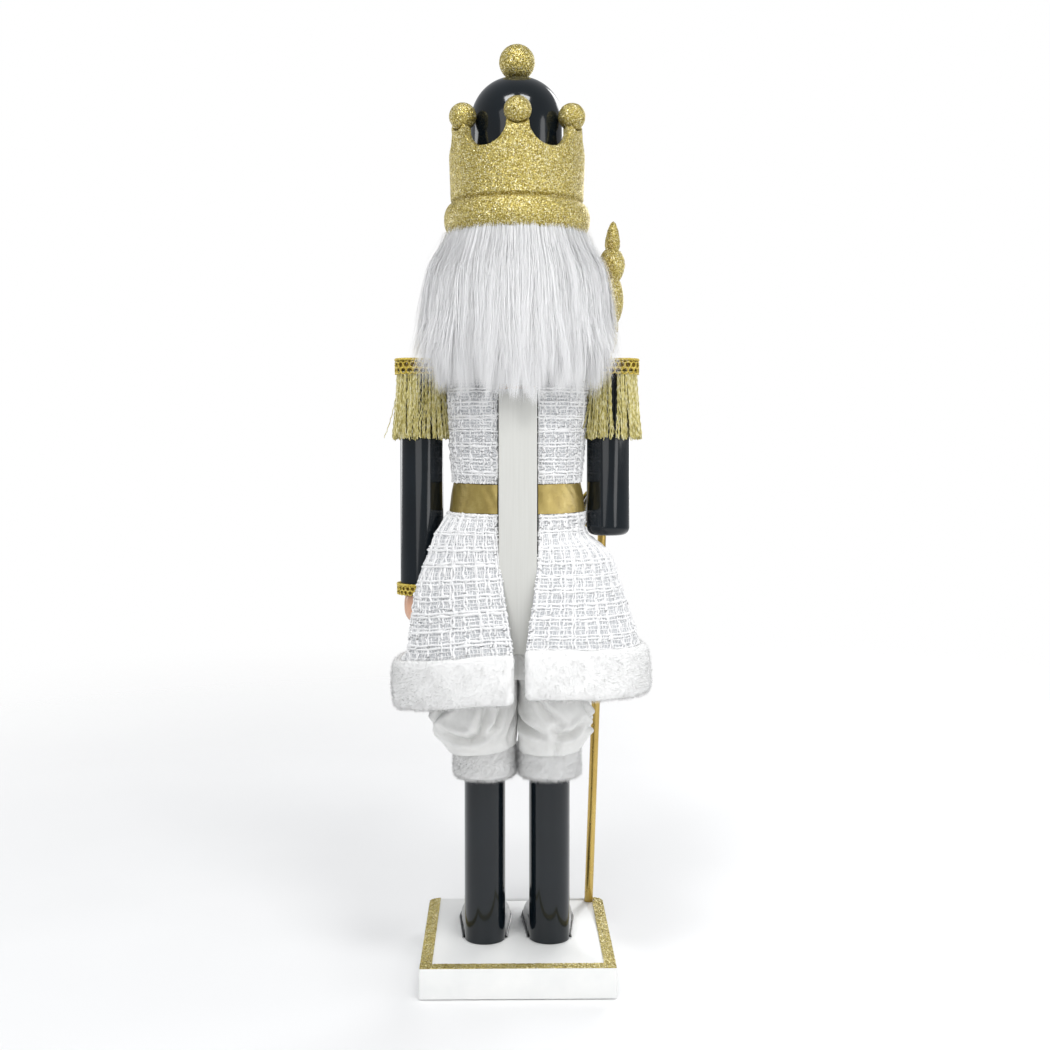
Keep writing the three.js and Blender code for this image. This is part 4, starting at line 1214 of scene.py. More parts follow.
piece("sleeve_forearm_right", *forearm(), LACQUER, "black_lacquer", replaces=("forearm_right",))


CORD_HINT = (0.1, 0.2, 0.97)


def scallops(path, out, rows, pitch, size, thick):
    """Rows of little rings of cord along a closed path under a plain cord, as gimp braid has."""
    closed = np.concatenate([path, path[:1]])
    ways = np.concatenate([out, out[:1]])
    run = np.concatenate([[0], np.cumsum(np.linalg.norm(np.diff(closed, axis=0), axis=1))])
    loops = max(3, round(run[-1] / pitch))

    def on_path(s, lift, stand):
        s = s % run[-1]
        spot = np.stack([np.interp(s, run, closed[:, k]) for k in range(3)], -1)
        way = np.stack([np.interp(s, run, ways[:, k]) for k in range(3)], -1)
        return spot + way * stand[..., None] + np.array([0, 0, 1]) * lift[..., None]

    parts = []
    angle = np.linspace(0, TAU, 15)[None]
    for row, height in enumerate(rows[:-1]):
        middle = (np.arange(loops) + 0.5 * (row % 2))[:, None] * run[-1] / loops
        along = middle + size * 1.08 * np.cos(angle)
        level = 0 * along
        ring = on_path(along, height + size * np.sin(angle) + level, 0.75 + 0.25 * np.cos(3 * angle) + level)
        parts.append(tubes(ring, thick, 6, CORD_HINT))
    line = np.linspace(0, run[-1], 260)
    for shift in (0.0, 0.5):
        weave = TAU * loops * (line / run[-1] + shift / loops)
        cord = on_path(line, rows[-1] + 0.45 * np.sin(weave), 0.7 + 0.35 * np.cos(weave))
        parts.append(tubes([cord], thick * 1.2, 6, CORD_HINT))
    return merged(*parts)


def wrist_braid(centre, axis):
    """A gimp cuff: a ring of two rows of loops, round the given axis."""
    turn = np.arange(96) * TAU / 96
    flat = np.stack([np.cos(turn), np.sin(turn), 0 * turn], -1)
    band_profile = rounded([(14.6, 0.2), (15.6, 0.2), (15.6, 7.3), (14.6, 7.3)], 0.5, 3, True)
    band = lathe(band_profile, 96, closed=True)
    loops = scallops(flat * 15.4, flat, (1.9, 4.6, 6.9), 3.4, 1.5, 0.42)
    result = []
    for points, faces in (outward(band), loops):
        if axis == "y":
            points = np.stack([points[:, 0], -points[:, 2], points[:, 1]], -1)
        result.append((points + np.array(centre), faces))
    return result


for name, centre, axis in (("left", (ARM["x"], ARM["y"], WRIST_Z - 4.5), "z"),
                           ("right", (-ARM["bent_x"], -53.2, ELBOW_Z), "y")):
    band, loops = wrist_braid(centre, axis)
    piece(f"wrist_band_{name}", *band, GIMP_GROUND, "gold_gimp", replaces=(f"wrist_braid_{name}",))
    piece(f"wrist_gimp_{name}", *loops, GIMP, "gold_gimp", crease=0)


def fist(radii, centre, finger_axis, finger_side):
    """A closed painted hand: a rounded block with grooves between its fingers.

    finger_axis is the axis the fingers lie side by side along; finger_side is an axis and a sign."""
    down, turn = np.meshgrid(np.linspace(0.001, math.pi - 0.001, 90), np.arange(120) * TAU / 120,
                             indexing="ij")
    way = np.stack([np.sin(down) * np.cos(turn), np.sin(down) * np.sin(turn), np.cos(down)], -1)
    power = 2.6
    size = (np.abs(way) ** power).sum(-1) ** (-1 / power)
    spot = way * size[..., None]
    front = ease(spot[..., finger_side[0]] * finger_side[1], 0.1, 0.7)
    groove = np.abs(np.sin((spot[..., finger_axis] + 1) * TAU)) ** 0.5
    spot = spot * (1 - 0.09 * front * (1 - groove))[..., None]
    return outward(sheet_of(spot * np.array(radii) * 0.9 + np.array(centre), False, True))


fist_left = fist((13, 14, 14), (ARM["x"], ARM["y"], FIST_Z - 1), 1, (0, 1))
piece("fist_left", *fist_left, FLESH, "flesh_paint", replaces=("hand_left",), crease=0)
grip = on_sceptre(ELBOW_Z - BOARD["height"])
fist_right = fist((13, 15.4, 14), (grip[0], -72.5, ELBOW_Z), 2, (1, -1))
hand = piece("fist_right", *fist_right, FLESH, "flesh_paint", replaces=("hand_right",), crease=0)
carved(hand, rod_shape(3.35, on_sceptre(250), on_sceptre(310), 32))

# ---------------------------------------------------------------- epaulettes

EPAULETTE = {"x": 62.4, "y": -4, "top": 404.6, "braid": 10, "flare": 4.2, "fringe_end": 351.6}


def oval(half, turn):
    """A squarish oval outline about the origin, and the way out of it."""
    c, s = np.cos(turn), np.sin(turn)
    spot = half * np.stack([powered(c, 2 / 3), powered(s, 2 / 3), 0 * turn], -1)
    return spot, unit(np.stack([powered(c, 4 / 3), powered(s, 4 / 3), 0 * turn], -1))


def oval_wall(rows, columns, close_rows=False):
    """A skin through ovals of given half width and height."""
    turn = np.arange(columns) * TAU / columns
    rings = [oval(half, turn)[0] + (0, 0, z) for half, z in rows]
    return outward(sheet_of(np.array(rings), close_rows, True))


def epaulette_pad():
    """A shoulder board with cords laid across its top."""
    rows = [(12, 401.7), (16.2, 401.7), (16.4, 403.4), (15.6, 404.1), (10, 404.4), (4, 404.5), (0.01, 404.5)]
    cords = []
    for y in np.arange(-14, 14.1, 1.5):
        reach = 15.2 * max(1 - abs(y / 15.6) ** 3, 0.05) ** (1 / 3)
        path = np.stack([np.linspace(-reach, reach, 24), np.full(24, y), np.full(24, 404.3)], -1)
        cords.append(tubes([path], 0.5, 6))
    return merged(oval_wall(rows, 96), *cords)


def epaulette_braid():
    """The dark band round a shoulder board, and the cord loops on it."""
    rows = [(16.3, 396.8), (16.8, 396.7), (16.9, 398), (16.9, 403), (16.8, 404.3), (16.3, 404.4)]
    path, way = oval(16.9, np.arange(180) * TAU / 180)
    return oval_wall(rows, 180, True), scallops(path, way, (396.3, 400.1, 403.6), 4.2, 1.9, 0.48)


def epaulette_fringe(seed):
    """Bundles of twisted metallic threads that flare a little and end raggedly."""
    rng = np.random.default_rng(seed)
    bundles, each, steps = 58, 9, 22
    centre = np.linspace(-2.75, 2.75, bundles) + rng.normal(0, 0.018, bundles)
    lean = rng.normal(0, 0.055, bundles)
    flare = EPAULETTE["flare"] * rng.uniform(0.25, 1.0, bundles)
    turn = np.repeat(centre, each) + rng.normal(0, 0.016, bundles * each)
    count = len(turn)
    t = np.linspace(0, 1, steps)[None]
    bottom = EPAULETTE["fringe_end"] + np.abs(rng.normal(0, 1.7, (count, 1)))
    bottom = bottom + rng.normal(0, 0.5, (count, 1))
    top = EPAULETTE["top"] - EPAULETTE["braid"] + 1.5
    fan = turn[:, None] + (np.repeat(lean, each) + rng.normal(0, 0.045, count))[:, None] * t**1.3
    spot, _ = oval(1.0, fan)
    half = 16.2 + rng.uniform(-0.7, 0.5, (count, 1)) + np.repeat(flare, each)[:, None] * t**1.2
    path = spot * half[..., None]
    path[..., 2] = top + (bottom - top) * t
    twist = TAU * (t * 13 + rng.random((count, 1)))
    for axis, wave in enumerate((np.cos(twist), np.sin(twist))):
        path[..., axis] += 0.28 * wave + 0.5 * np.sin(3 * t + 6 * rng.random((count, 1))) * t
    stray = rng.random(count) < 0.1
    for axis, reach in enumerate((4.0, 3.0)):
        path[stray, :, axis] += (rng.normal(0, reach, (count, 1)) * t**2)[stray]
    radii = 0.33 * rng.uniform(0.75, 1.2, (count, 1)) * (1 + 0.12 * np.sin(twist))
    return tubes(path, radii, 4, (0.3, 0.9, 0.1))


def mirrored(shape, side, x, y):
    """Turns a shape made for the left side to its own side, and sets it in place."""
    points, faces = shape
    spots = np.asarray(points, dtype=float) * (side, 1, 1) + (side * x, y, 0)
    return spots, faces if side > 0 else faces[:, ::-1]


for name, side in SIDES:
    place = (side, EPAULETTE["x"], EPAULETTE["y"])
    piece(f"epaulette_pad_{name}", *mirrored(epaulette_pad(), *place), GIMP, "gold_gimp",
          replaces=(f"epaulette_board_{name}",), crease=50)
    band, loops = epaulette_braid()
    piece(f"epaulette_band_{name}", *mirrored(band, *place), GIMP_GROUND, "gold_gimp",
          replaces=(f"epaulette_braid_{name}",))
    piece(f"epaulette_gimp_{name}", *mirrored(loops, *place), GIMP, "gold_gimp", crease=0)
    piece(f"epaulette_threads_{name}", *mirrored(epaulette_fringe(150 + side), *place), FRINGE, "gold_fringe",
          replaces=(f"epaulette_fringe_{name}",), crease=0)

# ---------------------------------------------------------------- head and painted face

HEAD = {"radius": 37, "bottom": 404.5, "top": 497}
PIVOT_Z = 425
SLOT_HALF, LEVER_HALF = 13, 12.05  # half widths of the head's slot, and of the jaw and lever in it


def cheek_blush(look, centres):
    """Mixes a soft rose into the skin round each cheek."""
    skin = look.base.inputs["Base Color"].links[0].from_socket
    place = look.node("TexCoord")
    for centre in centres:
        gap = look.node("VectorMath", operation="DISTANCE")
        look.link(place.outputs["Object"], gap.inputs[0])
        gap.inputs[1].default_value = centre
        near = look.node("MapRange", interpolation_type="SMOOTHSTEP")
        near.inputs["From Min"].default_value = 0.0105
        near.inputs["From Max"].default_value = 0.002
        near.inputs["To Max"].default_value = 0.55
        look.link(gap.outputs["Value"], near.inputs["Value"])
        mix = look.node("Mix", data_type="RGBA")
        look.link(near.outputs["Result"], mix.inputs["Factor"])
        look.link(skin, mix.inputs[6])
        mix.inputs[7].default_value = linear("d98a7c")
        skin = mix.outputs[2]
    look.link(skin, look.base.inputs["Base Color"])


def skin_of_face():
    look = flesh_paint("face_paint", "dfae92", "e6ba9f")
    cheeks = [to_row(on_face(side * 34, 440, HEAD["radius"]))[0] for side in (1, -1)]
    cheek_blush(look, [tuple(cheek) for cheek in cheeks])
    return look.material


def on_face(degrees, z, radius):
    """A place on the head, measured round from the middle of the face."""
    turn = np.radians(degrees)
    return np.stack([radius * np.sin(turn), -radius * np.cos(turn), z + 0 * turn], -1)


FACE = skin_of_face()
EYE_WHITE = face_paint("eye_white", "f2f2ee")
IRIS = face_paint("iris", "4a5f6b")
PUPIL = face_paint("pupil", "14171a", 0.15)
LIP = face_paint("lip", "b5675c", 0.35)
BROW = face_paint("brow_paint", "6f6a66", 0.5)

head_outline = rounded([(0, HEAD["bottom"]), (HEAD["radius"], HEAD["bottom"]),
                        (HEAD["radius"], HEAD["top"]), (0, HEAD["top"])], 4, 6)
slot_corners = [(-60, -24), (-60, -1.5), (-25, -1.5), (-12, 11.5), (0, 14), (10, 13.5), (16, 8),
                (44, -18), (60, -18), (60, -24)]  # depth, and height from the pivot
slot_outline = [(y, PIVOT_Z + z) for y, z in slot_corners]
skull = piece("head_painted", *outward(lathe(head_outline, 144)), FACE, "flesh_paint", replaces=("head",),
              crease=0)
carved(skull, prism(slot_outline, -SLOT_HALF, SLOT_HALF, "yzx"))
skull.data.shade_smooth()
skull.data.set_sharp_from_angle(angle=math.radians(35))


def face_patch(degrees, z, half_width, half_height, lift, base=0.05, bend=0.0):
    """A small domed painted oval that lies on the head."""
    s, turn = np.meshgrid(np.linspace(0.001, 1, 14), np.arange(56) * TAU / 56, indexing="ij")
    u = half_width * s * np.cos(turn)
    w = half_height * s * np.sin(turn)
    radius = HEAD["radius"] + base + lift * (1 - s**2)
    points = on_face(degrees + np.degrees(u / HEAD["radius"]), z + w + bend * (u / half_width) ** 2, radius)
    spots, faces = sheet_of(points, False, True)
    looks_out = face_normals(spots, faces).sum(0) @ (spots.mean(0) * (1, 1, 0)) > 0
    return spots, faces if looks_out else faces[:, ::-1]


EYE_ANGLE = 20  # degrees from the middle of the face


def brow(side):
    t = np.linspace(-1, 1, 40)
    line = on_face(side * (EYE_ANGLE + 8.5 * t), 465.5 + 1.6 * (1 - t**2) - 0.6 * t, HEAD["radius"] + 0.1)
    return tubes([line], (1.15 * (1 - 0.75 * np.abs(t) ** 3) * (1.1 - 0.35 * t))[None], 10)


def lash_line(side):
    t = np.linspace(-1, 1, 40)
    line = on_face(side * EYE_ANGLE + 8.2 * t, 456.6 + 3.4 * np.sqrt(1 - 0.97 * t**2), HEAD["radius"] + 0.25)
    return tubes([line], (0.42 * (1 - 0.6 * np.abs(t) ** 3))[None], 8)


# Part of the eye, its paint, then its height, half width, half height, bulge and lift off the head.
EYE_PARTS = (
    ("white", EYE_WHITE, (456.5, 5.2, 3.3, 0.6, 0.05)),
    ("iris", IRIS, (456.4, 2.6, 2.7, 0.35, 0.55)),
    ("pupil", PUPIL, (456.4, 1.2, 1.25, 0.2, 0.85)),
)
for name, paint, sizes in EYE_PARTS:
    pair = merged(*(face_patch(side * EYE_ANGLE, *sizes) for _, side in SIDES))
    piece(f"eyes_{name}", *pair, paint, "flesh_paint")
brows = merged(*(part(side) for part in (brow, lash_line) for _, side in SIDES))
piece("brows_painted", *brows, BROW, "flesh_paint")
piece("lip_painted", *face_patch(0, 424.6, 8.5, 0.9, 0.5, bend=0.8), LIP, "flesh_paint")

nose_outline = rounded([(0, 0), (5.6, 0), (5.8, 5), (5, 10), (3.2, 13), (0, 14)], 3, 6)
nose_points, nose_faces = lathe(spaced(nose_outline, 0.5), 64)
across, up, forward = np.moveaxis(nose_points, -1, 0)
nose_points = np.stack([across, -forward - 35.2, up * 1.08 + 443], -1)
piece("nose_painted", *outward((nose_points, nose_faces)), FACE, "flesh_paint", replaces=("nose",), crease=0)

# ---------------------------------------------------------------- jaw, teeth and lever

JAW = [(-45, 405.2), (-45, 415), (-42.5, 421), (-39, 423), (-24.3, 423), (-24.3, 405.2)]
LEVER_BOARD = [(39, 216.7), (50, 216.7), (50, 383.2), (39, 383.2)]
TOOTH = {"half": 1.45, "pitch": 3.1, "bottom": 414.6, "top": 420.6}
solid("jaw_painted", prism(JAW, -LEVER_HALF, LEVER_HALF, "yzx"), FLESH, "jaw_lever",
      ("jaw",), 0.7, 3)
for k in range(6):
    x = (k - 2.5) * TOOTH["pitch"]
    left, right = x - TOOTH["half"], x + TOOTH["half"]
    tooth = [(left, TOOTH["bottom"]), (right, TOOTH["bottom"]), (right, TOOTH["top"]), (left, TOOTH["top"])]
    solid(f"tooth_{k + 1}", prism(tooth, -45.7, -43, "xzy"), EYE_WHITE, "jaw_lever",
          bevel=0.35)
solid("lever_board", prism(LEVER_BOARD, -LEVER_HALF, LEVER_HALF, "yzx"), LEVER, "jaw_lever",
      ("lever",), 0.7, 3)

dowels = [f"{part}_dowel_{name}" for part in ("shoulder", "neck") for name, _ in SIDES]
dress(WOOD, "lever_arm", "hip_block", "elbow_dowel", *dowels)
dress(STEEL, "pivot_pin", "leg_screw_left", "leg_screw_right")
dress(LACQUER, "torso")

# ---------------------------------------------------------------- hair, beard and moustache


FRIZZ = 0.65  # how far a strand waves about, in millimetres
GATHER = 0.5  # how much of a lock's spread is gone at its tip


def strands_round(guides, each, spread, seed, width):
    """Fine strands that follow guide lines: loose at the root, drawn together at the tip."""
    rng = np.random.default_rng(seed)
    guides = np.asarray(guides, dtype=float)
    count, steps = len(guides) * each, guides.shape[1]
    t = np.linspace(0, 1, steps)[None, :, None]
    offset = rng.normal(0, 1, (count, 1, 3)) * np.array(spread)
    paths = np.repeat(guides, each, 0) + offset * (1 - GATHER * t**1.6)
    phase = rng.uniform(0, TAU, (count, 1, 3))
    rate = rng.uniform(3, 8, (count, 1, 3))
    paths = paths + FRIZZ * np.sin(rate * t + phase) * (0.15 + t)
    keep = rng.uniform(0.74, 1.0, (count, 1))
    run = np.arange(steps)[None] * keep
    low = np.clip(np.floor(run).astype(int), 0, steps - 2)
    rows = np.arange(count)[:, None]
    part = (run - low)[..., None]
    paths = paths[rows, low] * (1 - part) + paths[rows, low + 1] * part
    profile = np.interp(np.linspace(0, 1, steps), [0, 0.15, 0.7, 1], [0.7, 1.0, 0.9, 0.12])
    angle = np.arctan2(paths[:, steps // 2, 0], paths[:, steps // 2, 1])
    angle = angle * (1 + 0.45 * ease(np.abs(angle), 1.3, 1.85) * (np.abs(angle) < 2.1))
    facing = np.stack([np.sin(angle), np.cos(angle), 0 * angle], -1) + rng.normal(0, 0.2, (count, 3))
    return paths, profile[None] * width * rng.uniform(0.7, 1.2, (count, 1)), facing


HAIR_HULL = [(487, 42.8), (480, 47.5), (470, 52.5), (455, 56.5), (431, 59.5), (415, 61.5), (400, 63),
             (384, 64)]
HAIR_FRONT = math.radians(110)


def hull_at(z):
    """How far out the hair swells at a height."""
    return smooth(HAIR_HULL, np.clip(z, 384, 487))


def hair_guides(count, low, high, seed, layer=(0.86, 1.0), crown=True, bottom=386.0):
    """Guide lines that leave the scalp under the crown, swell out over the hull and hang down."""
    rng = np.random.default_rng(seed)
    steps = 8
    t = np.linspace(0, 1, steps)[None]
    phi = np.linspace(low, high, count)[:, None] + rng.normal(0, 0.03, (count, 1))
    start = rng.uniform(484, 489, (count, 1)) if crown else rng.uniform(440, 480, (count, 1))
    side_part = ease(np.abs(phi), 1.2, 1.5)
    end = bottom - 2 + rng.normal(0, 4.5, (count, 1)) + 25 * side_part
    z = start + (end - start) * t ** 1.05
    depth = rng.uniform(*layer, (count, 1))
    scalp = 39.5 if crown else 41.0
    hull = hull_at(z) * depth + 1.5 * waves(seed + 1, 4 * phi + 0 * z, z / 30, count=4)
    radius = scalp + (hull - scalp) * ease(t, -0.05, 0.3)
    radius = radius + rng.normal(0, 1.6, (count, 1)) * t**2 + 5 * side_part * t**2
    bend = rng.normal(0, 0.09, (count, 1)) * t**1.5
    bend = bend + 0.03 * np.sin(5 * t + rng.uniform(0, TAU, (count, 1))) * t
    return around(radius, np.clip(phi + bend, -HAIR_FRONT, HAIR_FRONT), z)


def lock_set(name, guides, each, seed, body="root", replaces=(), width=0.21, spread=(2.7, 2.5, 0.8), side=0):
    """A piece of loose strands; side, where given, keeps their ends out of the lever's way."""
    paths, widths, facing = strands_round(guides, each, spread, seed, width)
    if side:
        low = ease(paths[..., 2], 430, 405)
        paths[..., 0] = side * np.maximum(side * paths[..., 0], 13.2 * low - 20 * (1 - low))
    made = piece(name, *ribbons(paths, widths, facing), HAIR, "white_fur", body=body, replaces=replaces,
                 crease=0)
    return softened(made, np.repeat(facing, 2 * paths.shape[1], 0))


def under_hair():
    """A ridged cap close under the loose strands, so that no head shows between them."""
    z, phi = np.meshgrid(np.linspace(490, 409, 60), np.linspace(-1.86, 1.86, 240), indexing="ij")
    radius = 38.5 + (hull_at(z) * 0.9 - 38.5) * ease(z, 490, 468)
    radius = radius + 0.8 * waves(160, 22 * phi, z / 40, count=6)
    radius = np.minimum(radius, 37.3 + 60 * (1.87 - np.abs(phi)))
    return sheet_of(around(radius, phi, z))


# The cap wears the greyer under-hair paint: painted shade under the strands.
piece("hair_cap", *under_hair(), SHADED_UNDER_HAIR, "white_fur", crease=0)
LOCKS, EACH = 60, 230
for name, side, seed, cad_nodes in (("left", 1, 170, ("hair",)), ("right", -1, 174, ())):
    outer = hair_guides(LOCKS, *sorted((side * 0.22, side * 1.9)), seed)
    lock_set(f"hair_{name}_outer", outer, EACH, seed + 1, replaces=cad_nodes, side=side)
    inner = hair_guides(LOCKS, *sorted((side * 0.22, side * 1.86)), seed + 2, (0.76, 0.92), False)
    lock_set(f"hair_{name}_inner", inner, EACH, seed + 3, side=side)
middle_guides = np.concatenate([
    hair_guides(30, -0.24, 0.24, 178, bottom=382),
    hair_guides(24, -0.24, 0.24, 179, (0.8, 0.94), False, 382),
])
middle = lock_set("hair_middle_locks", middle_guides, 250, 180, body=None)
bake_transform(middle)


def wisps():
    """Loose flyaway strands at the sides, over the epaulettes."""
    rng = np.random.default_rng(180)
    count = 900
    side = np.where(rng.random(count) < 0.5, -1, 1)
    phi = (side * rng.uniform(0.7, 1.3, count))[:, None]
    t = np.linspace(0, 1, 9)[None]
    z = rng.uniform(455, 480, (count, 1)) * (1 - t) + rng.uniform(390, 414, (count, 1)) * t
    reach = rng.uniform(0.98, 1.05, (count, 1)) + rng.uniform(0, 0.26, (count, 1)) ** 1.3 * ease(t, 0.45, 1.1)
    radius = 40 + (hull_at(z) * reach - 40) * ease(t, -0.1, 0.3)
    paths = around(radius, phi + rng.normal(0, 0.12, (count, 1)) * t**2, z)
    behind_arm = np.maximum(paths[..., 1], 15.5 + rng.uniform(0, 3, (count, 1)))
    paths[..., 1] = np.where(z < 412, behind_arm, paths[..., 1])
    facing = paths[:, 4] * (1, 1, 0) + rng.normal(0, 20, (count, 3))
    return ribbons(paths, np.interp(t, [0, 0.5, 1], [0.25, 0.25, 0.05]), facing)


piece("hair_wisps", *wisps(), HAIR, "white_fur", crease=0)


def beard_guides(count, seed):
    """Guide lines that hang from under the jaw and narrow to a point."""
    rng = np.random.default_rng(seed)
    t = np.linspace(0, 1, 9)[None]
    across = np.linspace(-1, 1, count)[:, None] + rng.normal(0, 0.05, (count, 1))
    half = np.interp(t, [0, 0.15, 0.35, 0.7, 1], [12.5, 15.5, 16.5, 11, 2.5])
    length = 60 * (1 - 0.45 * across**2) + rng.normal(0, 2.0, (count, 1))
    layer = rng.uniform(0, 1, (count, 1))
    bulge = np.interp(t, [0, 0.2, 0.5, 1], [-45.7, -51.5, -53.0, -50.0])
    y = bulge * layer - 46.8 * (1 - layer) + 3.0 * across**2 * ease(t, 0, 0.3)
    x = across * half * (1 - 0.25 * np.abs(across) * t)
    x = x + 0.7 * np.sin(6 * t + rng.uniform(0, 6, (count, 1)))
    return np.stack([x, np.minimum(y, -46.3), 411 - length * t], -1)


def beard_base():
    """A ridged core inside the beard's strands."""
    # Height, half width, back and front.
    rows = np.array([(353, 2.5, -47.2, -49.8), (358, 6.5, -46.8, -51.5), (372, 12, -46.8, -52.5),
                     (392, 15.5, -46.8, -53), (404, 15, -46.2, -51.5), (411, 12.5, -45.6, -48.5)])
    turn = np.arange(64) * TAU / 64
    rings = []
    for z in np.linspace(411, 353, 50):
        half, back, front = (np.interp(z, rows[:, 0], rows[:, k]) for k in (1, 2, 3))
        groove = 0.35 * np.sin(16 * turn + 0.5 * np.sin(z / 6))
        x = half * np.cos(turn) * (1 + groove / 14)
        y = (front + back) / 2 + (back - front) / 2 * np.sin(turn)
        rings.append(np.stack([x, y, z + 0 * turn], -1))
    return outward(sheet_of(np.array(rings), False, True))


# The core wears the greyer under-hair paint: painted shade inside the beard.
beard_core = piece("beard_core", *beard_base(), SHADED_UNDER_HAIR, "white_fur", body=None, replaces=("beard",),
                   crease=0)
beard = lock_set("beard_locks", beard_guides(60, 190), 120, 191, body=None, width=0.3, spread=(1.0, 0.7, 0.8))
for made in (beard_core, beard):
    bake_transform(made)


def moustache_guides(seed, count=26):
    """Guide lines from under the nose out to both upturned tips."""
    rng = np.random.default_rng(seed)
    t = np.linspace(0, 1, 9)[None]
    sets = []
    for side in (1, -1):
        lift = rng.uniform(-1, 1, (count, 1))
        x = side * (0.8 + 21.5 * t ** 0.95 + 0 * lift)
        z = 432.5 + lift * np.interp(t, [0, 0.35, 0.75, 1], [2.6, 3.6, 2.4, 0.5])
        z = z - 3.2 * np.sin(math.pi * t) + 6.2 * t**2.5
        bulge = rng.uniform(0, 2.6, (count, 1)) * np.sin(math.pi * np.clip(t + 0.15, 0, 1))
        radius = 38.2 + bulge + 1.6 * t**2
        y = -np.sqrt(np.maximum(radius**2 - np.minimum(np.abs(x), 24) ** 2, 1))
        sets.append(np.stack([x, y, z], -1))
    return np.concatenate(sets)


lock_set("moustache_locks", moustache_guides(195), 110, 196, replaces=("moustache",), width=0.26,
         spread=(0.5, 0.35, 0.4))

# ---------------------------------------------------------------- crown

RIM = {"radius": 42.7, "thick": 5.3, "half": 10, "z": 495}
WALL = {"bottom": 503.5, "top": 553.5, "inner": 37.3, "outer": 43.3, "lean": 1.7}
WALL_MIDDLE = 42.5
POINTS = {"count": 6, "ring": 40.4, "ball": 8.9, "z": 558.4, "valley": 15.2, "valley_z": 552}
DOME = {"bottom": 497.3, "middle": 554.5, "radius": 31, "height": 33.9, "power": 2.2}
FINIAL = {"z": 598.2, "radius": 11.6}


GRAIN = 0.2  # room left for the glitter's grains, which stand out of each shape


def crown_rim():
    turn = np.arange(72) * TAU / 72
    radius = RIM["radius"] + (RIM["thick"] - GRAIN) * np.cos(turn)
    z = RIM["z"] + (RIM["half"] - GRAIN) * np.sin(turn)
    return outward(lathe(np.stack([radius, z], -1), 420, closed=True))


def wall_top(phi):
    """Height of the crown's cut edge at an angle from the back: round valleys between the points."""
    step = TAU / POINTS["count"]
    off = (phi + step / 2) % step - step / 2
    from_valley = WALL_MIDDLE * np.sin(step / 2 - np.abs(off))
    top = np.full_like(phi, WALL["top"])
    valley = POINTS["valley_z"] - np.sqrt(np.maximum(POINTS["valley"] ** 2 - from_valley**2, 0))
    top = np.where(from_valley < POINTS["valley"], np.minimum(top, valley), top)
    from_ball = WALL_MIDDLE * np.sin(np.abs(off))
    ball = POINTS["ball"] + GRAIN
    cradle = POINTS["z"] - np.sqrt(np.maximum(ball**2 - from_ball**2, 0))
    return np.where(from_ball < ball, np.minimum(top, cradle), top)


def crown_wall():
    """The leaning wall, in rows that go up its outside, over the cut edge and down its inside."""
    columns = 440
    phi = np.arange(columns) * TAU / columns
    top = wall_top(phi)
    rows = []

    def row(part, inner, low=0.0):
        z = WALL["bottom"] + (top - WALL["bottom"] - low) * part
        lean = WALL["lean"] * (z - WALL["bottom"]) / (WALL["top"] - WALL["bottom"])
        radius = WALL["outer"] - (WALL["outer"] - WALL["inner"]) * inner + lean
        radius = radius - 1.5 * (inner == 0) * ease(z, 507.8, 505.6)
        rows.append(around(radius, phi, z))

    for part in np.linspace(0, 1, 70):
        row(part, 0.0, 0.5)
    row(1.0, 0.12)
    row(1.0, 0.88)
    for part in np.linspace(1, 0, 24):
        row(part, 1.0, 0.5)
    return outward(sheet_of(np.array(rows), True, True))


def globe(radius, centre, segments=96):
    turn = np.linspace(-math.pi / 2, math.pi / 2, segments // 2 + 1)
    return outward(lathe(np.stack([radius * np.cos(turn), radius * np.sin(turn)], -1), segments, centre))


def glittered(name, cad_node, shape, grain, seed, body="root", crease=0):
    """A piece with glitter's rough surface."""
    piece(name, *roughened(shape, grain, seed), GLITTER, "gold_glitter", body, (cad_node,), crease)


glittered("crown_rim_glitter", "crown_rim", crown_rim(), 0.22, 200)
glittered("crown_wall_glitter", "crown_wall", crown_wall(), GRAIN, 201, crease=60)
for k in range(POINTS["count"]):
    phi = TAU * k / POINTS["count"]
    bead_centre = (POINTS["ring"] * math.sin(phi), POINTS["ring"] * math.cos(phi), POINTS["z"])
    ball = globe(POINTS["ball"] - GRAIN, bead_centre)
    glittered(f"crown_bead_{k + 1}", f"crown_ball_{k + 1}", ball, GRAIN, 202 + k)
finial = globe(FINIAL["radius"], (0, 0, FINIAL["z"]), 120)
glittered("crown_finial_ball", "crown_finial", finial, 0.22, 210)
arc = np.linspace(0, math.pi / 2, 60)
dome_arc = np.stack([
    DOME["radius"] * np.cos(arc) ** (2 / DOME["power"]),
    DOME["middle"] + DOME["height"] * np.sin(arc) ** (2 / DOME["power"]),
], -1)
dome_outline = np.concatenate([[(DOME["radius"], DOME["bottom"])], dome_arc])
piece("crown_dome_lacquer", *outward(lathe(dome_outline, 144)), LACQUER, "black_lacquer",
      replaces=("crown_dome",), crease=0)

# ---------------------------------------------------------------- sceptre


def bead(bottom, top, low_neck, high_neck, belly):
    """The outline of one turned bead, between two necks."""
    t = np.linspace(0, 1, 24)
    neck = low_neck + (high_neck - low_neck) * t
    radius = neck + (belly - neck) * np.sin(math.pi * t) ** 0.75
    return list(zip(radius, bottom + (top - bottom) * t))


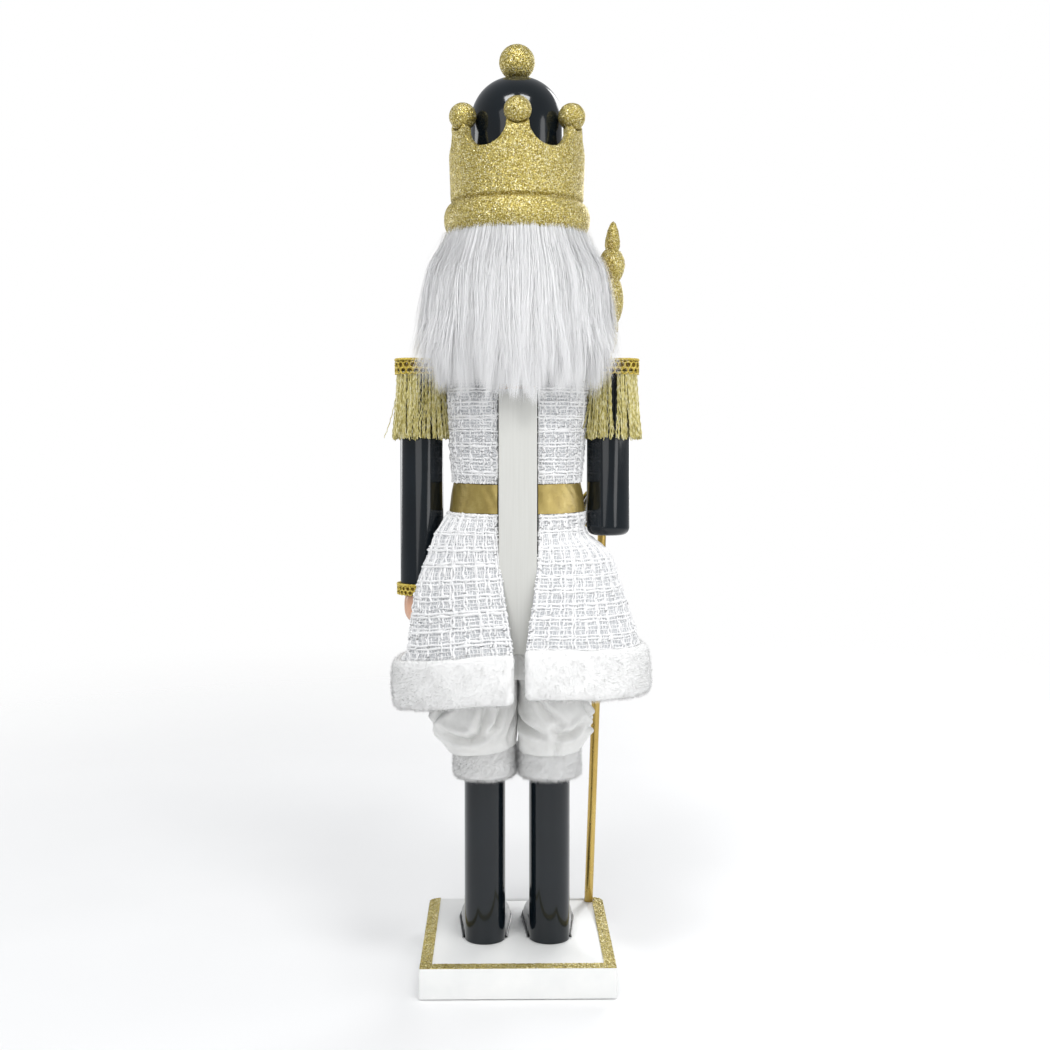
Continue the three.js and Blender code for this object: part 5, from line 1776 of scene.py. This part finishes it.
SCEPTRE_HEAD = [(3.2, 393.5), (3.6, 393.5), (4.4, 397), (5.8, 402), (5.9, 406), (4.9, 407.6), (6.2, 408.5),
                (6.4, 411.5), (6, 414.5), *bead(415, 445, 5.5, 5.9, 9.3),
                *bead(445.1, 466.4, 5.9, 4.6, 9.4)[1:], (5.4, 469), (5.2, 473), (3.8, 480), (1.8, 485),
                (0, 486.5)]


def leaning(shape):
    """Stands an upright shape, made about its own axis, on the sceptre's leaning one."""
    points, faces = shape
    spots = np.asarray(points, dtype=float).reshape(-1, 3)
    lean = SCEPTRE["lean"]
    x = spots[:, 0] * math.cos(lean) - spots[:, 2] * math.sin(lean) + SCEPTRE["x"]
    z = spots[:, 0] * math.sin(lean) + spots[:, 2] * math.cos(lean) + BOARD["height"]
    return np.stack([x, spots[:, 1] + SCEPTRE["y"], z], -1), faces


rod_outline = rounded([(0, -7.5), (SCEPTRE["radius"], -7.5), (SCEPTRE["radius"], 420), (0, 420)], 0.4, 3)
piece("sceptre_shaft", *leaning(outward(lathe(rod_outline, 48))), GOLD, "gold_metal", "sceptre",
      ("sceptre_rod",))
sceptre_head = leaning(outward(lathe(spaced(SCEPTRE_HEAD, 0.6), 96)))
glittered("sceptre_finial", "sceptre_head", sceptre_head, 0.15, 220, "sceptre", 70)

# ---------------------------------------------------------------- floor

floor_look = Shader("floor", "f4f4f4", 0.6)
floor_look.paint(floor_look.noise(400), (0.3, "f2f2f2"), (0.7, "f6f6f6"))
floor_place = floor_look.node("TexCoord")
floor_reach = floor_look.node("VectorMath", operation="LENGTH")
floor_look.link(floor_place.outputs["Object"], floor_reach.inputs[0])
floor_fade = floor_look.node("MapRange", interpolation_type="SMOOTHSTEP")
for socket, value in (("From Min", 0.35), ("From Max", 1.5), ("To Min", 1.0), ("To Max", 0.0)):
    floor_fade.inputs[socket].default_value = value
floor_look.link(floor_reach.outputs["Value"], floor_fade.inputs["Value"])
floor_look.link(floor_fade.outputs["Result"], floor_look.base.inputs["Alpha"])
bpy.ops.mesh.primitive_plane_add(size=6, location=(0, 0, -0.0005))
floor = bpy.context.object
floor.name = "floor"
floor.data.materials.append(floor_look.material)
